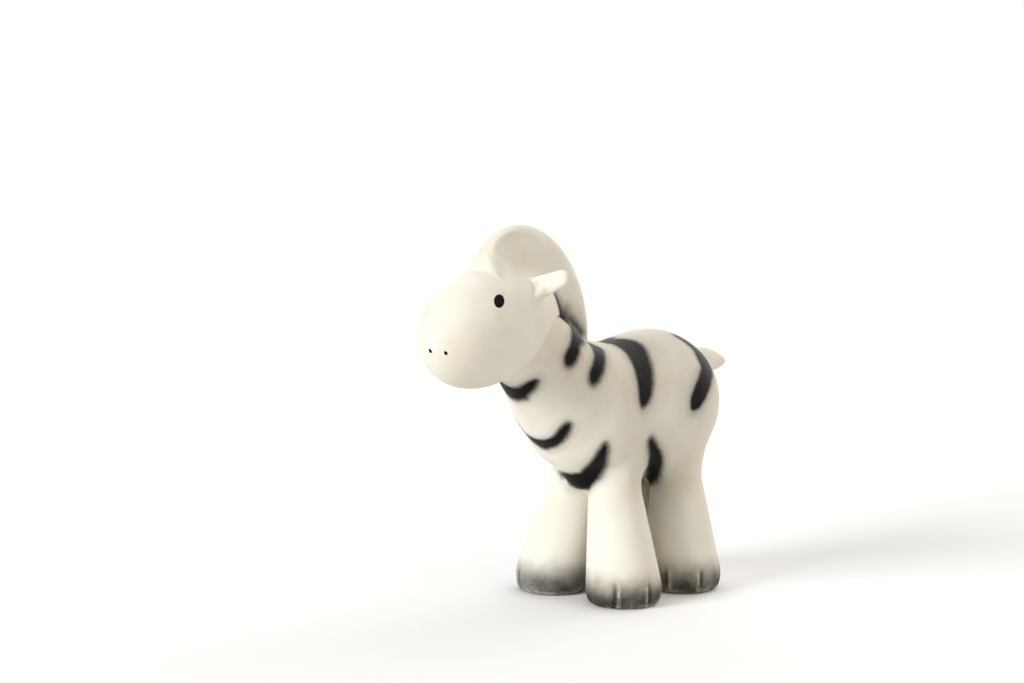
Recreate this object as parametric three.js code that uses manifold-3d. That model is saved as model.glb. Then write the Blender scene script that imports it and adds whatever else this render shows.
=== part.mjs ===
// Zebra bath toy: a hollow natural-rubber body and head, a bonded mane, two pegged ears, a pegged
// tail and a loose rattle ball in the belly. Millimetres, +Z up; it faces -Y, its left side is +X.
import * as THREE from 'three';
import { mergeVertices } from 'three/addons/utils/BufferGeometryUtils.js';
import Module from 'manifold-3d';

// Rubber moulding
const WALL = 2.6; // wall of the body and the head
const BOND = 0.35; // glue line between two bonded pieces
const PEG_PROUD = 2.4; // how far a peg shows inside the wall it goes through

// Trunk: an ellipsoid, its front end pitched down
const TRUNK_HEIGHT = 59; // from the ground to its centre
const TRUNK_HALF_WIDTH = 22.2;
const TRUNK_HALF_LENGTH = 26.7;
const TRUNK_HALF_HEIGHT = 23.9;
const TRUNK_PITCH = 0.08;

// Neck: two tapered spans, chest to middle and middle to the head joint
const NECK_ROOT_PAST = 2.5; // ahead of the trunk's front end
const NECK_ROOT_RISE = 1.2;
const NECK_ROOT_RADIUS = 20.6;
const NECK_LOW_AHEAD = 9.7;
const NECK_LOW_RISE = 6.8;
const NECK_MIDDLE_RADIUS = 17;
const NECK_HIGH_AHEAD = 20.1;
const NECK_HIGH_RISE = 18.3;
const NECK_TOP_RADIUS = 12.8;
const NECK_SPAN_BLEND = 4;
const NECK_TRUNK_BLEND = 14;
const NECK_PLUG = 5; // how far the open neck end reaches past its top centre, into the head

// Keel: the low point of the chest, ahead of the fore legs
const KEEL_PAST = 2.8; // ahead of the trunk's front end
const KEEL_DROP = 18; // below the trunk's centre
const KEEL_RADIUS = 6.5;
const KEEL_BLEND = 5;

// Legs: tapered rods, splayed to the side, on rounded feet
const HIP_X = 7.6;
const HIP_DROP = 21.4; // below the trunk's centre
const HIP_RADIUS = 7.9;
const FORE_HIP_SHORT = 2; // of the trunk's front end
const HIND_HIP_SHORT = 20.5; // of the trunk's rear end
const STANCE_WIDTH = 53.4; // over the outsides of the feet
const FOOT_Z = 5.1;
const FOOT_RADIUS = 12;
const FORE_FOOT_AHEAD = 3.3; // of its hip
const HIND_FOOT_AHEAD = 4.2;
const SOLE_ROUND = 2.6;
const SOLE_SKIM = 0.4; // taken off below the moulded sole to leave it flat
const LEG_BLEND_INSIDE = 4;
const LEG_BLEND_OUTSIDE = 9;
const LEG_BLEND_FROM = 5;
const LEG_BLEND_TO = 17;
const CREASE_BLEND = 1.2; // under the chest, where the fore legs start
const CREASE_FROM = 1; // ahead of the fore hips
const CREASE_TO = 9;

// Toe grooves: two on each foot, either side of the way the foot points
const TOE_GROOVE_RADIUS = 0.9;
const TOE_GROOVE_TOP = 9.5;
const TOE_GROOVE_SIDES = 8;
const TOE_SPREAD = 28; // degrees from the foot's heading to a groove
const FORE_FOOT_HEADING = 55; // degrees outward from straight ahead
const HIND_FOOT_HEADING = 40;

// Head: an egg, fuller at the muzzle, nose down
const HEAD_AHEAD = 13.3; // of the neck's top centre
const HEAD_RISE = 6.6;
const HEAD_FRONT = 28.4;
const HEAD_REAR = 26.2;
const HEAD_REAR_DROP = 4; // how far the rear end sags below the egg's axis
const HEAD_HALF_WIDTH = 15.4;
const HEAD_HALF_HEIGHT = 17.1;
const HEAD_PITCH = 0.27;
const HEAD_TAPER = 0.16;

// Mane: an oval crest with a flat front, its forelock hollowed on each side to leave a rolled rim
const MANE_BEHIND = 16.1; // behind the head's centre
const MANE_DROP = 2.3; // of its centre, below the head's
const MANE_HALF_LENGTH = 32;
const MANE_HALF_DEPTH = 25.1;
const MANE_TILT = -1.16;
const MANE_FOOT_DROP = 8.5; // of the crest's end below its centre, within the head and the neck
const MANE_WEB_THICK = 6.6;
const MANE_EDGE_BLEND = 5;
const FORELOCK_AHEAD = 22; // from the crest's centre to its flat front
const FORELOCK_FROM = 5.6; // where the crest starts to swell towards its front
const FORELOCK_TOP_BLEND = 1.5;
const FORELOCK_EDGE_BLEND = 2.6;
const FORELOCK_FLARE = 2.2; // added to its thickness at the foot
const FORELOCK_FLARE_TOP = 29; // above the crest's centre
const FORELOCK_FLARE_FULL = 20.4;
const DISH_AHEAD = 8.8; // the hollow's centre, from the crest's
const DISH_RISE = 23.6;
const DISH_HALF_LENGTH = 10.6;
const DISH_HALF_HEIGHT = 6;
const DISH_DEPTH = 1.5;
const DISH_EDGE = 0.25; // share of the hollow that its slope takes
const MANE_PEG_RADIUS = 1.7;
const CROWN_PEG_AHEAD = 8.4; // of the crest's centre
const NAPE_PEG_BEHIND = 18.6;

// Ears: flat tapered paddles, hollowed at the front, each on a round peg
const EAR_BEHIND = 7.4; // behind the head's centre
const EAR_RISE = 10;
const EAR_AXIS = new THREE.Vector3(0.82, 0.35, 0.46).normalize();
const EAR_FACE = new THREE.Vector3(0.4, -0.86, 0.4);
const EAR_LENGTH = 8.2; // from the seat to the centre of the round tip
const EAR_ROOT_DEPTH = 4; // from the seat to the centre of the root, within the head
const EAR_ROOT_LIFT = 0.6; // of the root's centre, towards the upper edge
const EAR_ROOT_RADIUS = 4.3;
const EAR_TIP_RADIUS = 2.6;
const EAR_FLATNESS = 2;
const EAR_HOLLOW_OUT = 2.9; // the hollow's centre, from the seat along the ear
const EAR_HOLLOW_LIFT = 1.3;
const EAR_HOLLOW_LENGTH = 3.6;
const EAR_HOLLOW_WIDTH = 1.7;
const EAR_HOLLOW_DEPTH = 1;
const EAR_HOLLOW_BLEND = 0.6;
const EAR_PEG_RADIUS = 1.2;

// Tail: a flat leaf with a drooping point, on a round peg
const TAIL_RISE = 11.4; // above the trunk's centre
const TAIL_LENGTH = 18.3;
const TAIL_HALF_HEIGHT = 4.2;
const TAIL_HALF_WIDTH = 3;
const TAIL_TAPER = 0.5; // of its outer half, towards the point
const TAIL_DROOP = 0.09;
const TAIL_ROOT_DEPTH = 6; // part of the leaf that the rump would hide
const TAIL_PEG_RADIUS = 1.8;

// Rattle: a two-part ball that passes through the open neck, with loose beads
const RATTLE_RADIUS = 8;
const RATTLE_WALL = 1.3;
const RATTLE_LIP = 2; // height of the lap between the two halves
const RATTLE_FIT = 0.15; // clearance in the lap
const RATTLE_REST_GAP = 0.3;
const RATTLE_TRIES = 40; // places between the hips where its lowest rest is sought
const BEAD_RADIUS = 1.6;
const BEAD_COUNT = 3;
const BEAD_GAP = 0.2;

// Facet sizes
const BODY_CELL = 4.6;
const BODY_BORE_CELL = 6;
const HEAD_CELL = 4.4;
const HEAD_BORE_CELL = 5.6;
const MANE_CELL = 1.7;
const EAR_CELL = 1.2;
const TAIL_CELL = 1.2;
const PEG_SIDES = 16;
const RATTLE_SIDES = 20;
const RATTLE_ARC_STEPS = 6;
const BEAD_SIDES = 10;
const BEAD_RINGS = 8;

// A taper ends this far past the end of its form, as a share of the half length
const TAPER_END = 1.2;

// Places that follow from the sizes above, with the trunk's centre over y = 0
const TRUNK_Y = 0;
const TRUNK_FRONT_Y = TRUNK_Y - TRUNK_HALF_LENGTH;
const TRUNK_REAR_Y = TRUNK_Y + TRUNK_HALF_LENGTH;
const NECK_ROOT = [0, TRUNK_FRONT_Y - NECK_ROOT_PAST, TRUNK_HEIGHT + NECK_ROOT_RISE];
const NECK_MIDDLE = [0, NECK_ROOT[1] - NECK_LOW_AHEAD, NECK_ROOT[2] + NECK_LOW_RISE];
const NECK_TOP = [0, NECK_MIDDLE[1] - NECK_HIGH_AHEAD, NECK_MIDDLE[2] + NECK_HIGH_RISE];
const KEEL_AT = [0, TRUNK_FRONT_Y - KEEL_PAST, TRUNK_HEIGHT - KEEL_DROP];
const HEAD_Y = NECK_TOP[1] - HEAD_AHEAD;
const HEAD_Z = NECK_TOP[2] + HEAD_RISE;
const MANE_Y = HEAD_Y + MANE_BEHIND;
const MANE_Z = HEAD_Z - MANE_DROP;
const HIP_Z = TRUNK_HEIGHT - HIP_DROP;
const FOOT_X = STANCE_WIDTH / 2 - FOOT_RADIUS;
const FORE_HIP_Y = TRUNK_FRONT_Y + FORE_HIP_SHORT;
const HIND_HIP_Y = TRUNK_REAR_Y - HIND_HIP_SHORT;
const FORE_FOOT_Y = FORE_HIP_Y - FORE_FOOT_AHEAD;
const HIND_FOOT_Y = HIND_HIP_Y - HIND_FOOT_AHEAD;
const PEG_REACH = WALL + PEG_PROUD;

const wasm = await Module();
wasm.setup();

// Forms: signed distances from a surface in millimetres, negative inside.
const clamp = (v, low, high) => Math.min(Math.max(v, low), high);

function ease(from, to, v) {
  const t = clamp((v - from) / (to - from), 0, 1);
  return t * t * (3 - 2 * t);
}

// Smooth union and intersection over a blend width.
const join = (a, b, blend) => Math.min(a, b) - Math.max(blend - Math.abs(a - b), 0) ** 2 / (4 * blend);
const meet = (a, b, blend) => -join(-a, -b, blend);

function oval(x, y, z, rx, ry, rz) {
  const near = Math.hypot(x / rx, y / ry, z / rz);
  const slope = Math.hypot(x / rx ** 2, y / ry ** 2, z / rz ** 2);
  return slope > 0 ? (near * (near - 1)) / slope : -Math.min(rx, ry, rz);
}

// A rod between two spheres of different radius.
function taperedRod(x, y, z, a, ra, b, rb) {
  const span = [b[0] - a[0], b[1] - a[1], b[2] - a[2]];
  const from = [x - a[0], y - a[1], z - a[2]];
  const length2 = span[0] ** 2 + span[1] ** 2 + span[2] ** 2;
  const taper = ra - rb;
  const slant2 = length2 - taper * taper;
  const along = from[0] * span[0] + from[1] * span[1] + from[2] * span[2];
  const past = along - length2;
  const side2 = [0, 1, 2].reduce((sum, i) => sum + (from[i] * length2 - span[i] * along) ** 2, 0);
  const along2 = along * along * length2;
  const past2 = past * past * length2;
  const edge = Math.sign(taper) * taper * taper * side2;
  if (Math.sign(past) * slant2 * past2 > edge) return Math.sqrt(side2 + past2) / length2 - rb;
  if (Math.sign(along) * slant2 * along2 < edge) return Math.sqrt(side2 + along2) / length2 - ra;
  return (Math.sqrt((side2 * slant2) / length2) + along * taper) / length2 - ra;
}

// Turns (y, z) about a centre by an angle, to lie along and across a pitched axis.
function pitched(y, z, y0, z0, angle) {
  const c = Math.cos(angle);
  const s = Math.sin(angle);
  return [c * (y - y0) + s * (z - z0), c * (z - z0) - s * (y - y0)];
}

function neckForm(x, y, z) {
  const low = taperedRod(x, y, z, NECK_ROOT, NECK_ROOT_RADIUS, NECK_MIDDLE, NECK_MIDDLE_RADIUS);
  const high = taperedRod(x, y, z, NECK_MIDDLE, NECK_MIDDLE_RADIUS, NECK_TOP, NECK_TOP_RADIUS);
  return join(low, high, NECK_SPAN_BLEND);
}

function legForm(x, y, z, hipY, footY) {
  const hip = [HIP_X, hipY, HIP_Z];
  const foot = [FOOT_X, footY, FOOT_Z];
  const rod = taperedRod(Math.abs(x), y, z, hip, HIP_RADIUS, foot, FOOT_RADIUS);
  return meet(rod, -z - SOLE_SKIM, SOLE_ROUND);
}

function bodyForm(x, y, z) {
  const [along, across] = pitched(y, z, TRUNK_Y, TRUNK_HEIGHT, TRUNK_PITCH);
  const trunk = oval(x, along, across, TRUNK_HALF_WIDTH, TRUNK_HALF_LENGTH, TRUNK_HALF_HEIGHT);
  const keel = Math.hypot(x - KEEL_AT[0], y - KEEL_AT[1], z - KEEL_AT[2]) - KEEL_RADIUS;
  const core = join(join(trunk, neckForm(x, y, z), NECK_TRUNK_BLEND), keel, KEEL_BLEND);
  const outside = ease(LEG_BLEND_FROM, LEG_BLEND_TO, Math.abs(x));
  const blend = LEG_BLEND_INSIDE + (LEG_BLEND_OUTSIDE - LEG_BLEND_INSIDE) * outside;
  const crease = ease(FORE_HIP_Y - CREASE_FROM, FORE_HIP_Y - CREASE_TO, y);
  const foreBlend = blend + (CREASE_BLEND - blend) * crease;
  const withFore = join(core, legForm(x, y, z, FORE_HIP_Y, FORE_FOOT_Y), foreBlend);
  return join(withFore, legForm(x, y, z, HIND_HIP_Y, HIND_FOOT_Y), blend);
}

function headForm(x, y, z) {
  const [along, above] = pitched(y, z, HEAD_Y, HEAD_Z, HEAD_PITCH);
  const across = above + HEAD_REAR_DROP * Math.max(along / HEAD_REAR, 0) ** 2;
  const half = along < 0 ? HEAD_FRONT : HEAD_REAR;
  const swell = 1 - HEAD_TAPER * clamp(along / half, -TAPER_END, TAPER_END);
  return oval(x / swell, along, across / swell, HEAD_HALF_WIDTH, half, HEAD_HALF_HEIGHT);
}

function maneForm(x, y, z) {
  const [along, across] = pitched(y, z, MANE_Y, MANE_Z, MANE_TILT);
  const ahead = MANE_Y - y;
  const high = z - MANE_Z;
  const egg = oval(0, along, across, 1, MANE_HALF_LENGTH, MANE_HALF_DEPTH);
  const rim = Math.max(meet(egg, ahead - FORELOCK_AHEAD, FORELOCK_TOP_BLEND), -high - MANE_FOOT_DROP);
  const front = ease(FORELOCK_FROM, FORELOCK_AHEAD, ahead);
  const flare = FORELOCK_FLARE * ease(FORELOCK_FLARE_TOP, FORELOCK_FLARE_FULL, high) * front;
  const offDish = Math.hypot((ahead - DISH_AHEAD) / DISH_HALF_LENGTH, (high - DISH_RISE) / DISH_HALF_HEIGHT);
  const fading = ease(DISH_AHEAD - DISH_HALF_LENGTH, DISH_AHEAD + DISH_HALF_LENGTH / 2, ahead);
  const dish = DISH_DEPTH * fading * ease(1, 1 - DISH_EDGE, offDish);
  const blend = MANE_EDGE_BLEND + (FORELOCK_EDGE_BLEND - MANE_EDGE_BLEND) * front;
  return meet(rim, Math.abs(x) - (MANE_WEB_THICK + flare) / 2 + dish, blend);
}

// The first point from a start, along a direction, where a form reaches a level.
const HALVINGS = 50;

function reach(form, start, way, level = 0) {
  const at = (distance) => start.clone().addScaledVector(way, distance);
  const within = (distance) => form(...at(distance).toArray()) < level;
  let low = 0;
  let high = 1;
  while (within(high)) high *= 2;
  for (let i = 0; i < HALVINGS; i += 1) {
    const mid = (low + high) / 2;
    if (within(mid)) low = mid;
    else high = mid;
  }
  return at(low);
}

const UP = new THREE.Vector3(0, 0, 1);
const LEFT = new THREE.Vector3(1, 0, 0);
const BACK = new THREE.Vector3(0, 1, 0);

const earSeat = reach(headForm, new THREE.Vector3(0, HEAD_Y + EAR_BEHIND, HEAD_Z + EAR_RISE), LEFT);
const earFace = EAR_FACE.clone().addScaledVector(EAR_AXIS, -EAR_FACE.dot(EAR_AXIS)).normalize();
const earWidth = new THREE.Vector3().crossVectors(earFace, EAR_AXIS);

function earForm(x, y, z) {
  const p = new THREE.Vector3(x, y, z).sub(earSeat);
  const along = p.dot(EAR_AXIS);
  const across = p.dot(earWidth);
  const out = p.dot(earFace);
  const root = [-EAR_ROOT_DEPTH, EAR_ROOT_LIFT, 0];
  const tip = [EAR_LENGTH, 0, 0];
  const leaf = taperedRod(along, across, out * EAR_FLATNESS, root, EAR_ROOT_RADIUS, tip, EAR_TIP_RADIUS);
  const front = EAR_ROOT_RADIUS / EAR_FLATNESS;
  const [long, wide, deep] = [EAR_HOLLOW_LENGTH, EAR_HOLLOW_WIDTH, EAR_HOLLOW_DEPTH];
  const hollow = oval(along - EAR_HOLLOW_OUT, across - EAR_HOLLOW_LIFT, out - front, long, wide, deep);
  return meet(leaf / EAR_FLATNESS, -hollow, EAR_HOLLOW_BLEND);
}

const tailAxis = new THREE.Vector3(0, Math.cos(TAIL_DROOP), -Math.sin(TAIL_DROOP));
const tailSeat = reach(bodyForm, new THREE.Vector3(0, TRUNK_Y, TRUNK_HEIGHT + TAIL_RISE), BACK);
const tailHalf = (TAIL_LENGTH + TAIL_ROOT_DEPTH) / 2;

function tailForm(x, y, z) {
  const [along, across] = pitched(y, z, tailSeat.y, tailSeat.z, -TAIL_DROOP);
  const out = along - TAIL_LENGTH + tailHalf;
  const swell = 1 - TAIL_TAPER * clamp(out / tailHalf, 0, TAPER_END);
  return oval(x / swell, out, across / swell, TAIL_HALF_WIDTH, tailHalf, TAIL_HALF_HEIGHT);
}

// The skin of a form as a closed mesh: one point for each sheet of the surface in each cell of a
// lattice, a quad round each lattice edge that crosses the surface, then the points are spread
// evenly and set on the surface. Corner n of a cell has its x, y and z steps in the bits of n.
const CELL_FACES = [[0, 1, 3, 2], [4, 5, 7, 6], [0, 1, 5, 4], [2, 3, 7, 6], [0, 2, 6, 4], [1, 3, 7, 5]];
const CELL_CORNERS = [...new Set(CELL_FACES.flat())].sort();
const ROUND_EDGE = [[1, 1], [0, 1], [0, 0], [1, 0]];
const SPREAD_ROUNDS = 8;
const SET_ROUNDS = 3;
const SET_STEP = 1e-3;
const LEAST_SLOPE = 0.05; // of a form, squared, for a point to follow it

function setOnSurface(form, p) {
  const h = SET_STEP;
  for (let i = 0; i < SET_ROUNDS; i += 1) {
    const slope = new THREE.Vector3(
      form(p.x + h, p.y, p.z) - form(p.x - h, p.y, p.z),
      form(p.x, p.y + h, p.z) - form(p.x, p.y - h, p.z),
      form(p.x, p.y, p.z + h) - form(p.x, p.y, p.z - h),
    ).divideScalar(2 * h);
    p.addScaledVector(slope, -form(p.x, p.y, p.z) / Math.max(slope.lengthSq(), LEAST_SLOPE));
  }
}

// The crossed edges of one cell in groups, one group for each sheet of the surface.
function sheetsOf(inside) {
  const sheets = [];
  const link = (one, other) => {
    const joined = [one, other];
    for (let n = sheets.length - 1; n >= 0; n -= 1) {
      if (sheets[n].includes(one) || sheets[n].includes(other)) joined.push(...sheets.splice(n, 1)[0]);
    }
    sheets.push([...new Set(joined)]);
  };
  for (const face of CELL_FACES) {
    const next = (n) => face[(n + 1) % 4];
    const edges = face.map((corner, n) => [Math.min(corner, next(n)), corner ^ next(n)].join());
    const crossed = edges.filter((_, n) => inside[face[n]] !== inside[next(n)]);
    if (crossed.length === 2) link(...crossed);
    if (crossed.length < 4) continue;
    face.forEach((corner, n) => inside[corner] && link(edges[n], edges[(n + 3) % 4]));
  }
  return sheets.map((sheet) => sheet.map((edge) => edge.split(',').map(Number)));
}

// The form lies within the given balls. The lattice has planes through the given centre, which is in
// the gaps of the form, or half a cell off its ridge.
function skin(form, balls, cell, centre) {
  const axes = ['x', 'y', 'z'];
  const box = new THREE.Box3();
  for (const [middle, radius] of balls) {
    box.union(new THREE.Sphere(middle, radius).getBoundingBox(new THREE.Box3()));
  }
  box.expandByScalar(2 * cell);
  const below = axes.map((k) => Math.ceil((centre[k] - box.min[k]) / cell));
  const count = axes.map((k, n) => below[n] + Math.ceil((box.max[k] - centre[k]) / cell) + 1);
  const step = [count[1] * count[2], count[2], 1];
  const place = (n) => new THREE.Vector3(
    Math.floor(n / step[0]) - below[0],
    (Math.floor(n / step[1]) % count[1]) - below[1],
    (n % count[2]) - below[2],
  ).multiplyScalar(cell).add(centre);
  const value = Float64Array.from({ length: count[0] * step[0] }, (_, n) => form(...place(n).toArray()));
  const points = [];
  const round = new Map();
  for (let n = 0; n < value.length; n += 1) {
    const last = n % count[2] === count[2] - 1 || Math.floor(n / step[1]) % count[1] === count[1] - 1;
    if (last || n >= (count[0] - 1) * step[0]) continue;
    const corner = CELL_CORNERS.map((m) => {
      const [i, j, k] = [m & 1, (m >> 1) & 1, m >> 2];
      return n + i * step[0] + j * step[1] + k * step[2];
    });
    const inside = corner.map((m) => value[m] < 0);
    if (inside.every((flag) => flag === inside[0])) continue;
    for (const sheet of sheetsOf(inside)) {
      const sum = new THREE.Vector3();
      for (const [low, bit] of sheet) {
        const [a, b] = [corner[low], corner[low + bit]];
        sum.add(place(a).lerp(place(b), value[a] / (value[a] - value[b])));
        const key = a * 3 + Math.log2(bit);
        if (!round.has(key)) round.set(key, new Map());
        round.get(key).set(n, points.length);
      }
      points.push(sum.divideScalar(sheet.length));
    }
  }
  const quads = [];
  for (const [key, cells] of round) {
    const low = Math.floor(key / 3);
    const [b, c] = [step[(key % 3 + 1) % 3], step[(key % 3 + 2) % 3]];
    const quad = ROUND_EDGE.map(([db, dc]) => cells.get(low - db * b - dc * c));
    quads.push(value[low] < 0 ? quad : quad.reverse());
  }
  const beside = points.map(() => new Set());
  for (const quad of quads) quad.forEach((n, i) => beside[n].add(quad[(i + 1) % 4]).add(quad[(i + 3) % 4]));
  for (let turn = 0; turn < SPREAD_ROUNDS; turn += 1) {
    const spread = points.map((_, n) => {
      const sum = new THREE.Vector3();
      for (const m of beside[n]) sum.add(points[m]);
      return sum.divideScalar(beside[n].size);
    });
    points.forEach((p, n) => setOnSurface(form, p.copy(spread[n])));
  }
  const faces = quads.flatMap(([a, b, c, d]) => {
    const shortest = points[a].distanceTo(points[c]) < points[b].distanceTo(points[d]);
    return shortest ? [a, b, c, a, c, d] : [b, c, d, b, d, a];
  });
  const geometry = new THREE.BufferGeometry();
  geometry.setAttribute('position', new THREE.Float32BufferAttribute(points.flatMap((p) => p.toArray()), 3));
  geometry.setIndex(faces);
  return geometry;
}

// Joining and cutting of closed meshes. Points this near each other are one.
const WELD = 1e-4;
const SLIVER_WELD = 2e-3; // after a cut

function solid(geometry) {
  const plain = geometry.clone();
  plain.deleteAttribute('normal');
  plain.deleteAttribute('uv');
  const merged = mergeVertices(plain, WELD);
  const vertProperties = new Float32Array(merged.attributes.position.array);
  const triVerts = new Uint32Array(merged.index.array);
  return new wasm.Manifold(new wasm.Mesh({ numProp: 3, vertProperties, triVerts }));
}

function geometryOf(made) {
  const mesh = made.getMesh();
  const raw = new THREE.BufferGeometry();
  raw.setAttribute('position', new THREE.Float32BufferAttribute(mesh.vertProperties, 3));
  raw.setIndex(Array.from(mesh.triVerts));
  const merged = mergeVertices(raw, SLIVER_WELD);
  const kept = [];
  const corners = merged.index.array;
  for (let i = 0; i < corners.length; i += 3) {
    const [a, b, c] = [corners[i], corners[i + 1], corners[i + 2]];
    if (a !== b && b !== c && c !== a) kept.push(a, b, c);
  }
  merged.setIndex(kept);
  return merged;
}

// A round bar from one point to another.
function bar(from, to, radius, sides = PEG_SIDES) {
  const span = to.clone().sub(from);
  const geometry = new THREE.CylinderGeometry(radius, radius, span.length(), sides);
  const turn = new THREE.Quaternion().setFromUnitVectors(BACK, span.clone().normalize());
  geometry.applyQuaternion(turn);
  geometry.translate(...from.clone().add(to).multiplyScalar(0.5).toArray());
  return solid(geometry);
}

const grown = (form, by) => (x, y, z) => form(x, y, z) - by;
const point = (x, y, z) => new THREE.Vector3(x, y, z);
const foreFoot = point(FOOT_X, FORE_FOOT_Y, FOOT_Z);
const hindFoot = point(FOOT_X, HIND_FOOT_Y, FOOT_Z);
const headCentre = point(0, HEAD_Y, HEAD_Z);
const bodyBalls = [
  [point(0, TRUNK_Y, TRUNK_HEIGHT), Math.max(TRUNK_HALF_WIDTH, TRUNK_HALF_LENGTH, TRUNK_HALF_HEIGHT)],
  [point(...NECK_ROOT), NECK_ROOT_RADIUS],
  [point(...NECK_MIDDLE), NECK_MIDDLE_RADIUS],
  [point(...NECK_TOP), NECK_TOP_RADIUS],
  [point(...KEEL_AT), KEEL_RADIUS],
  ...[foreFoot, hindFoot].flatMap((foot) => [[foot, FOOT_RADIUS], [foot.clone().setX(-FOOT_X), FOOT_RADIUS]]),
];
const headSwell = 1 + HEAD_TAPER;
const headRearReach = Math.hypot(HEAD_REAR, HEAD_REAR_DROP);
const headSides = [HEAD_HALF_WIDTH * headSwell, HEAD_HALF_HEIGHT * headSwell];
const headReach = Math.max(HEAD_FRONT, headRearReach, ...headSides);
const maneReach = Math.max(MANE_HALF_LENGTH, MANE_HALF_DEPTH);
const earRootFoot = earSeat.clone().addScaledVector(EAR_AXIS, -EAR_ROOT_DEPTH);
const earRoot = earRootFoot.clone().addScaledVector(earWidth, EAR_ROOT_LIFT);
const earBalls = [
  [earRoot, EAR_ROOT_RADIUS],
  [earSeat.clone().addScaledVector(EAR_AXIS, EAR_LENGTH), EAR_TIP_RADIUS],
];
const tailReach = Math.max(TAIL_HALF_HEIGHT, TAIL_HALF_WIDTH);
const tailBalls = [
  [tailSeat.clone().addScaledVector(tailAxis, -TAIL_ROOT_DEPTH), tailReach],
  [tailSeat.clone().addScaledVector(tailAxis, TAIL_LENGTH), tailReach],
];
const legGap = point(0, (FORE_FOOT_Y + HIND_FOOT_Y) / 2, 0);
const bodySkin = (by, cell) => solid(skin(grown(bodyForm, by), bodyBalls, cell, legGap));
const headSkin = (by, cell) => solid(skin(grown(headForm, by), [[headCentre, headReach]], cell, headCentre));

// Pegs
const crownSeat = reach(headForm, new THREE.Vector3(0, MANE_Y - CROWN_PEG_AHEAD, HEAD_Z), UP);
const napeSeat = reach(bodyForm, new THREE.Vector3(0, MANE_Y + NAPE_PEG_BEHIND, NECK_MIDDLE[2]), UP);
const maneSeats = [crownSeat, napeSeat];
const manePegs = (clear) => maneSeats.map((seat) => {
  const foot = seat.clone().addScaledVector(UP, -PEG_REACH - clear);
  return bar(foot, seat.clone().addScaledVector(UP, MANE_PEG_RADIUS * 2), MANE_PEG_RADIUS + clear);
});
const earPeg = (clear) => {
  const foot = earSeat.clone().addScaledVector(EAR_AXIS, -PEG_REACH - clear);
  return bar(foot, earSeat.clone().addScaledVector(EAR_AXIS, EAR_PEG_RADIUS), EAR_PEG_RADIUS + clear);
};
const tailPeg = (clear) => {
  const foot = tailSeat.clone().addScaledVector(tailAxis, -PEG_REACH - clear);
  return bar(foot, tailSeat.clone().addScaledVector(tailAxis, TAIL_PEG_RADIUS * 2), TAIL_PEG_RADIUS + clear);
};
const mirrored = (made) => {
  const geometry = geometryOf(made).scale(-1, 1, 1);
  const order = geometry.index.array;
  for (let i = 0; i < order.length; i += 3) [order[i + 1], order[i + 2]] = [order[i + 2], order[i + 1]];
  return solid(geometry);
};

// Body: hollow, skimmed flat at the soles, open at the neck end.
function neckEnd() {
  const axis = new THREE.Vector3(...NECK_TOP).sub(new THREE.Vector3(...NECK_MIDDLE)).normalize();
  const deep = 4 * NECK_TOP_RADIUS;
  const block = new THREE.BoxGeometry(deep, deep, deep);
  block.applyQuaternion(new THREE.Quaternion().setFromUnitVectors(BACK, axis));
  const middle = new THREE.Vector3(...NECK_TOP).addScaledVector(axis, NECK_PLUG + deep / 2);
  return solid(block.translate(...middle.toArray()));
}

function toeGrooves() {
  const cuts = [];
  for (const [foot, heading] of [[foreFoot, FORE_FOOT_HEADING], [hindFoot, HIND_FOOT_HEADING]]) {
    for (const turn of [heading - TOE_SPREAD, heading + TOE_SPREAD]) {
      const angle = THREE.MathUtils.degToRad(turn);
      const face = reach(bodyForm, foot, point(Math.sin(angle), -Math.cos(angle), 0));
      const low = face.clone().setZ(-TOE_GROOVE_RADIUS);
      const groove = bar(low, face.clone().setZ(TOE_GROOVE_TOP), TOE_GROOVE_RADIUS, TOE_GROOVE_SIDES);
      cuts.push(groove, mirrored(groove));
    }
  }
  return cuts;
}

const slab = 4 * FOOT_RADIUS;
const floorSlab = solid(new THREE.BoxGeometry(4 * slab, 8 * slab, slab).translate(0, 0, -slab / 2));
let body = bodySkin(0, BODY_CELL);
for (const cut of [floorSlab, ...toeGrooves()]) body = body.subtract(cut);
body = body.subtract(bodySkin(-WALL, BODY_BORE_CELL));
for (const cut of [neckEnd(), tailPeg(BOND), manePegs(BOND)[1]]) body = body.subtract(cut);

// Head: hollow, opened for the neck, the mane peg and the ear pegs.
const neckSocket = bodySkin(BOND, BODY_CELL);
let head = headSkin(0, HEAD_CELL);
head = head.subtract(headSkin(-WALL, HEAD_BORE_CELL));
const earHole = earPeg(BOND);
for (const cut of [neckSocket, manePegs(BOND)[0], earHole, mirrored(earHole)]) head = head.subtract(cut);

// Pieces that are bonded on the two shells.
const headSeat = headSkin(BOND, HEAD_CELL);
const maneCentre = point(0, MANE_Y, MANE_Z);
const maneRidge = point(MANE_CELL / 2, MANE_Y, MANE_Z);
let mane = solid(skin(maneForm, [[maneCentre, maneReach]], MANE_CELL, maneRidge));
for (const seat of [headSeat, neckSocket]) mane = mane.subtract(seat);
for (const peg of manePegs(0)) mane = mane.add(peg);
const ear = solid(skin(earForm, earBalls, EAR_CELL, earSeat)).subtract(headSeat).add(earPeg(0));
const tailRidge = tailSeat.clone().setX(TAIL_CELL / 2);
const tail = solid(skin(tailForm, tailBalls, TAIL_CELL, tailRidge)).subtract(neckSocket).add(tailPeg(0));

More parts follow.
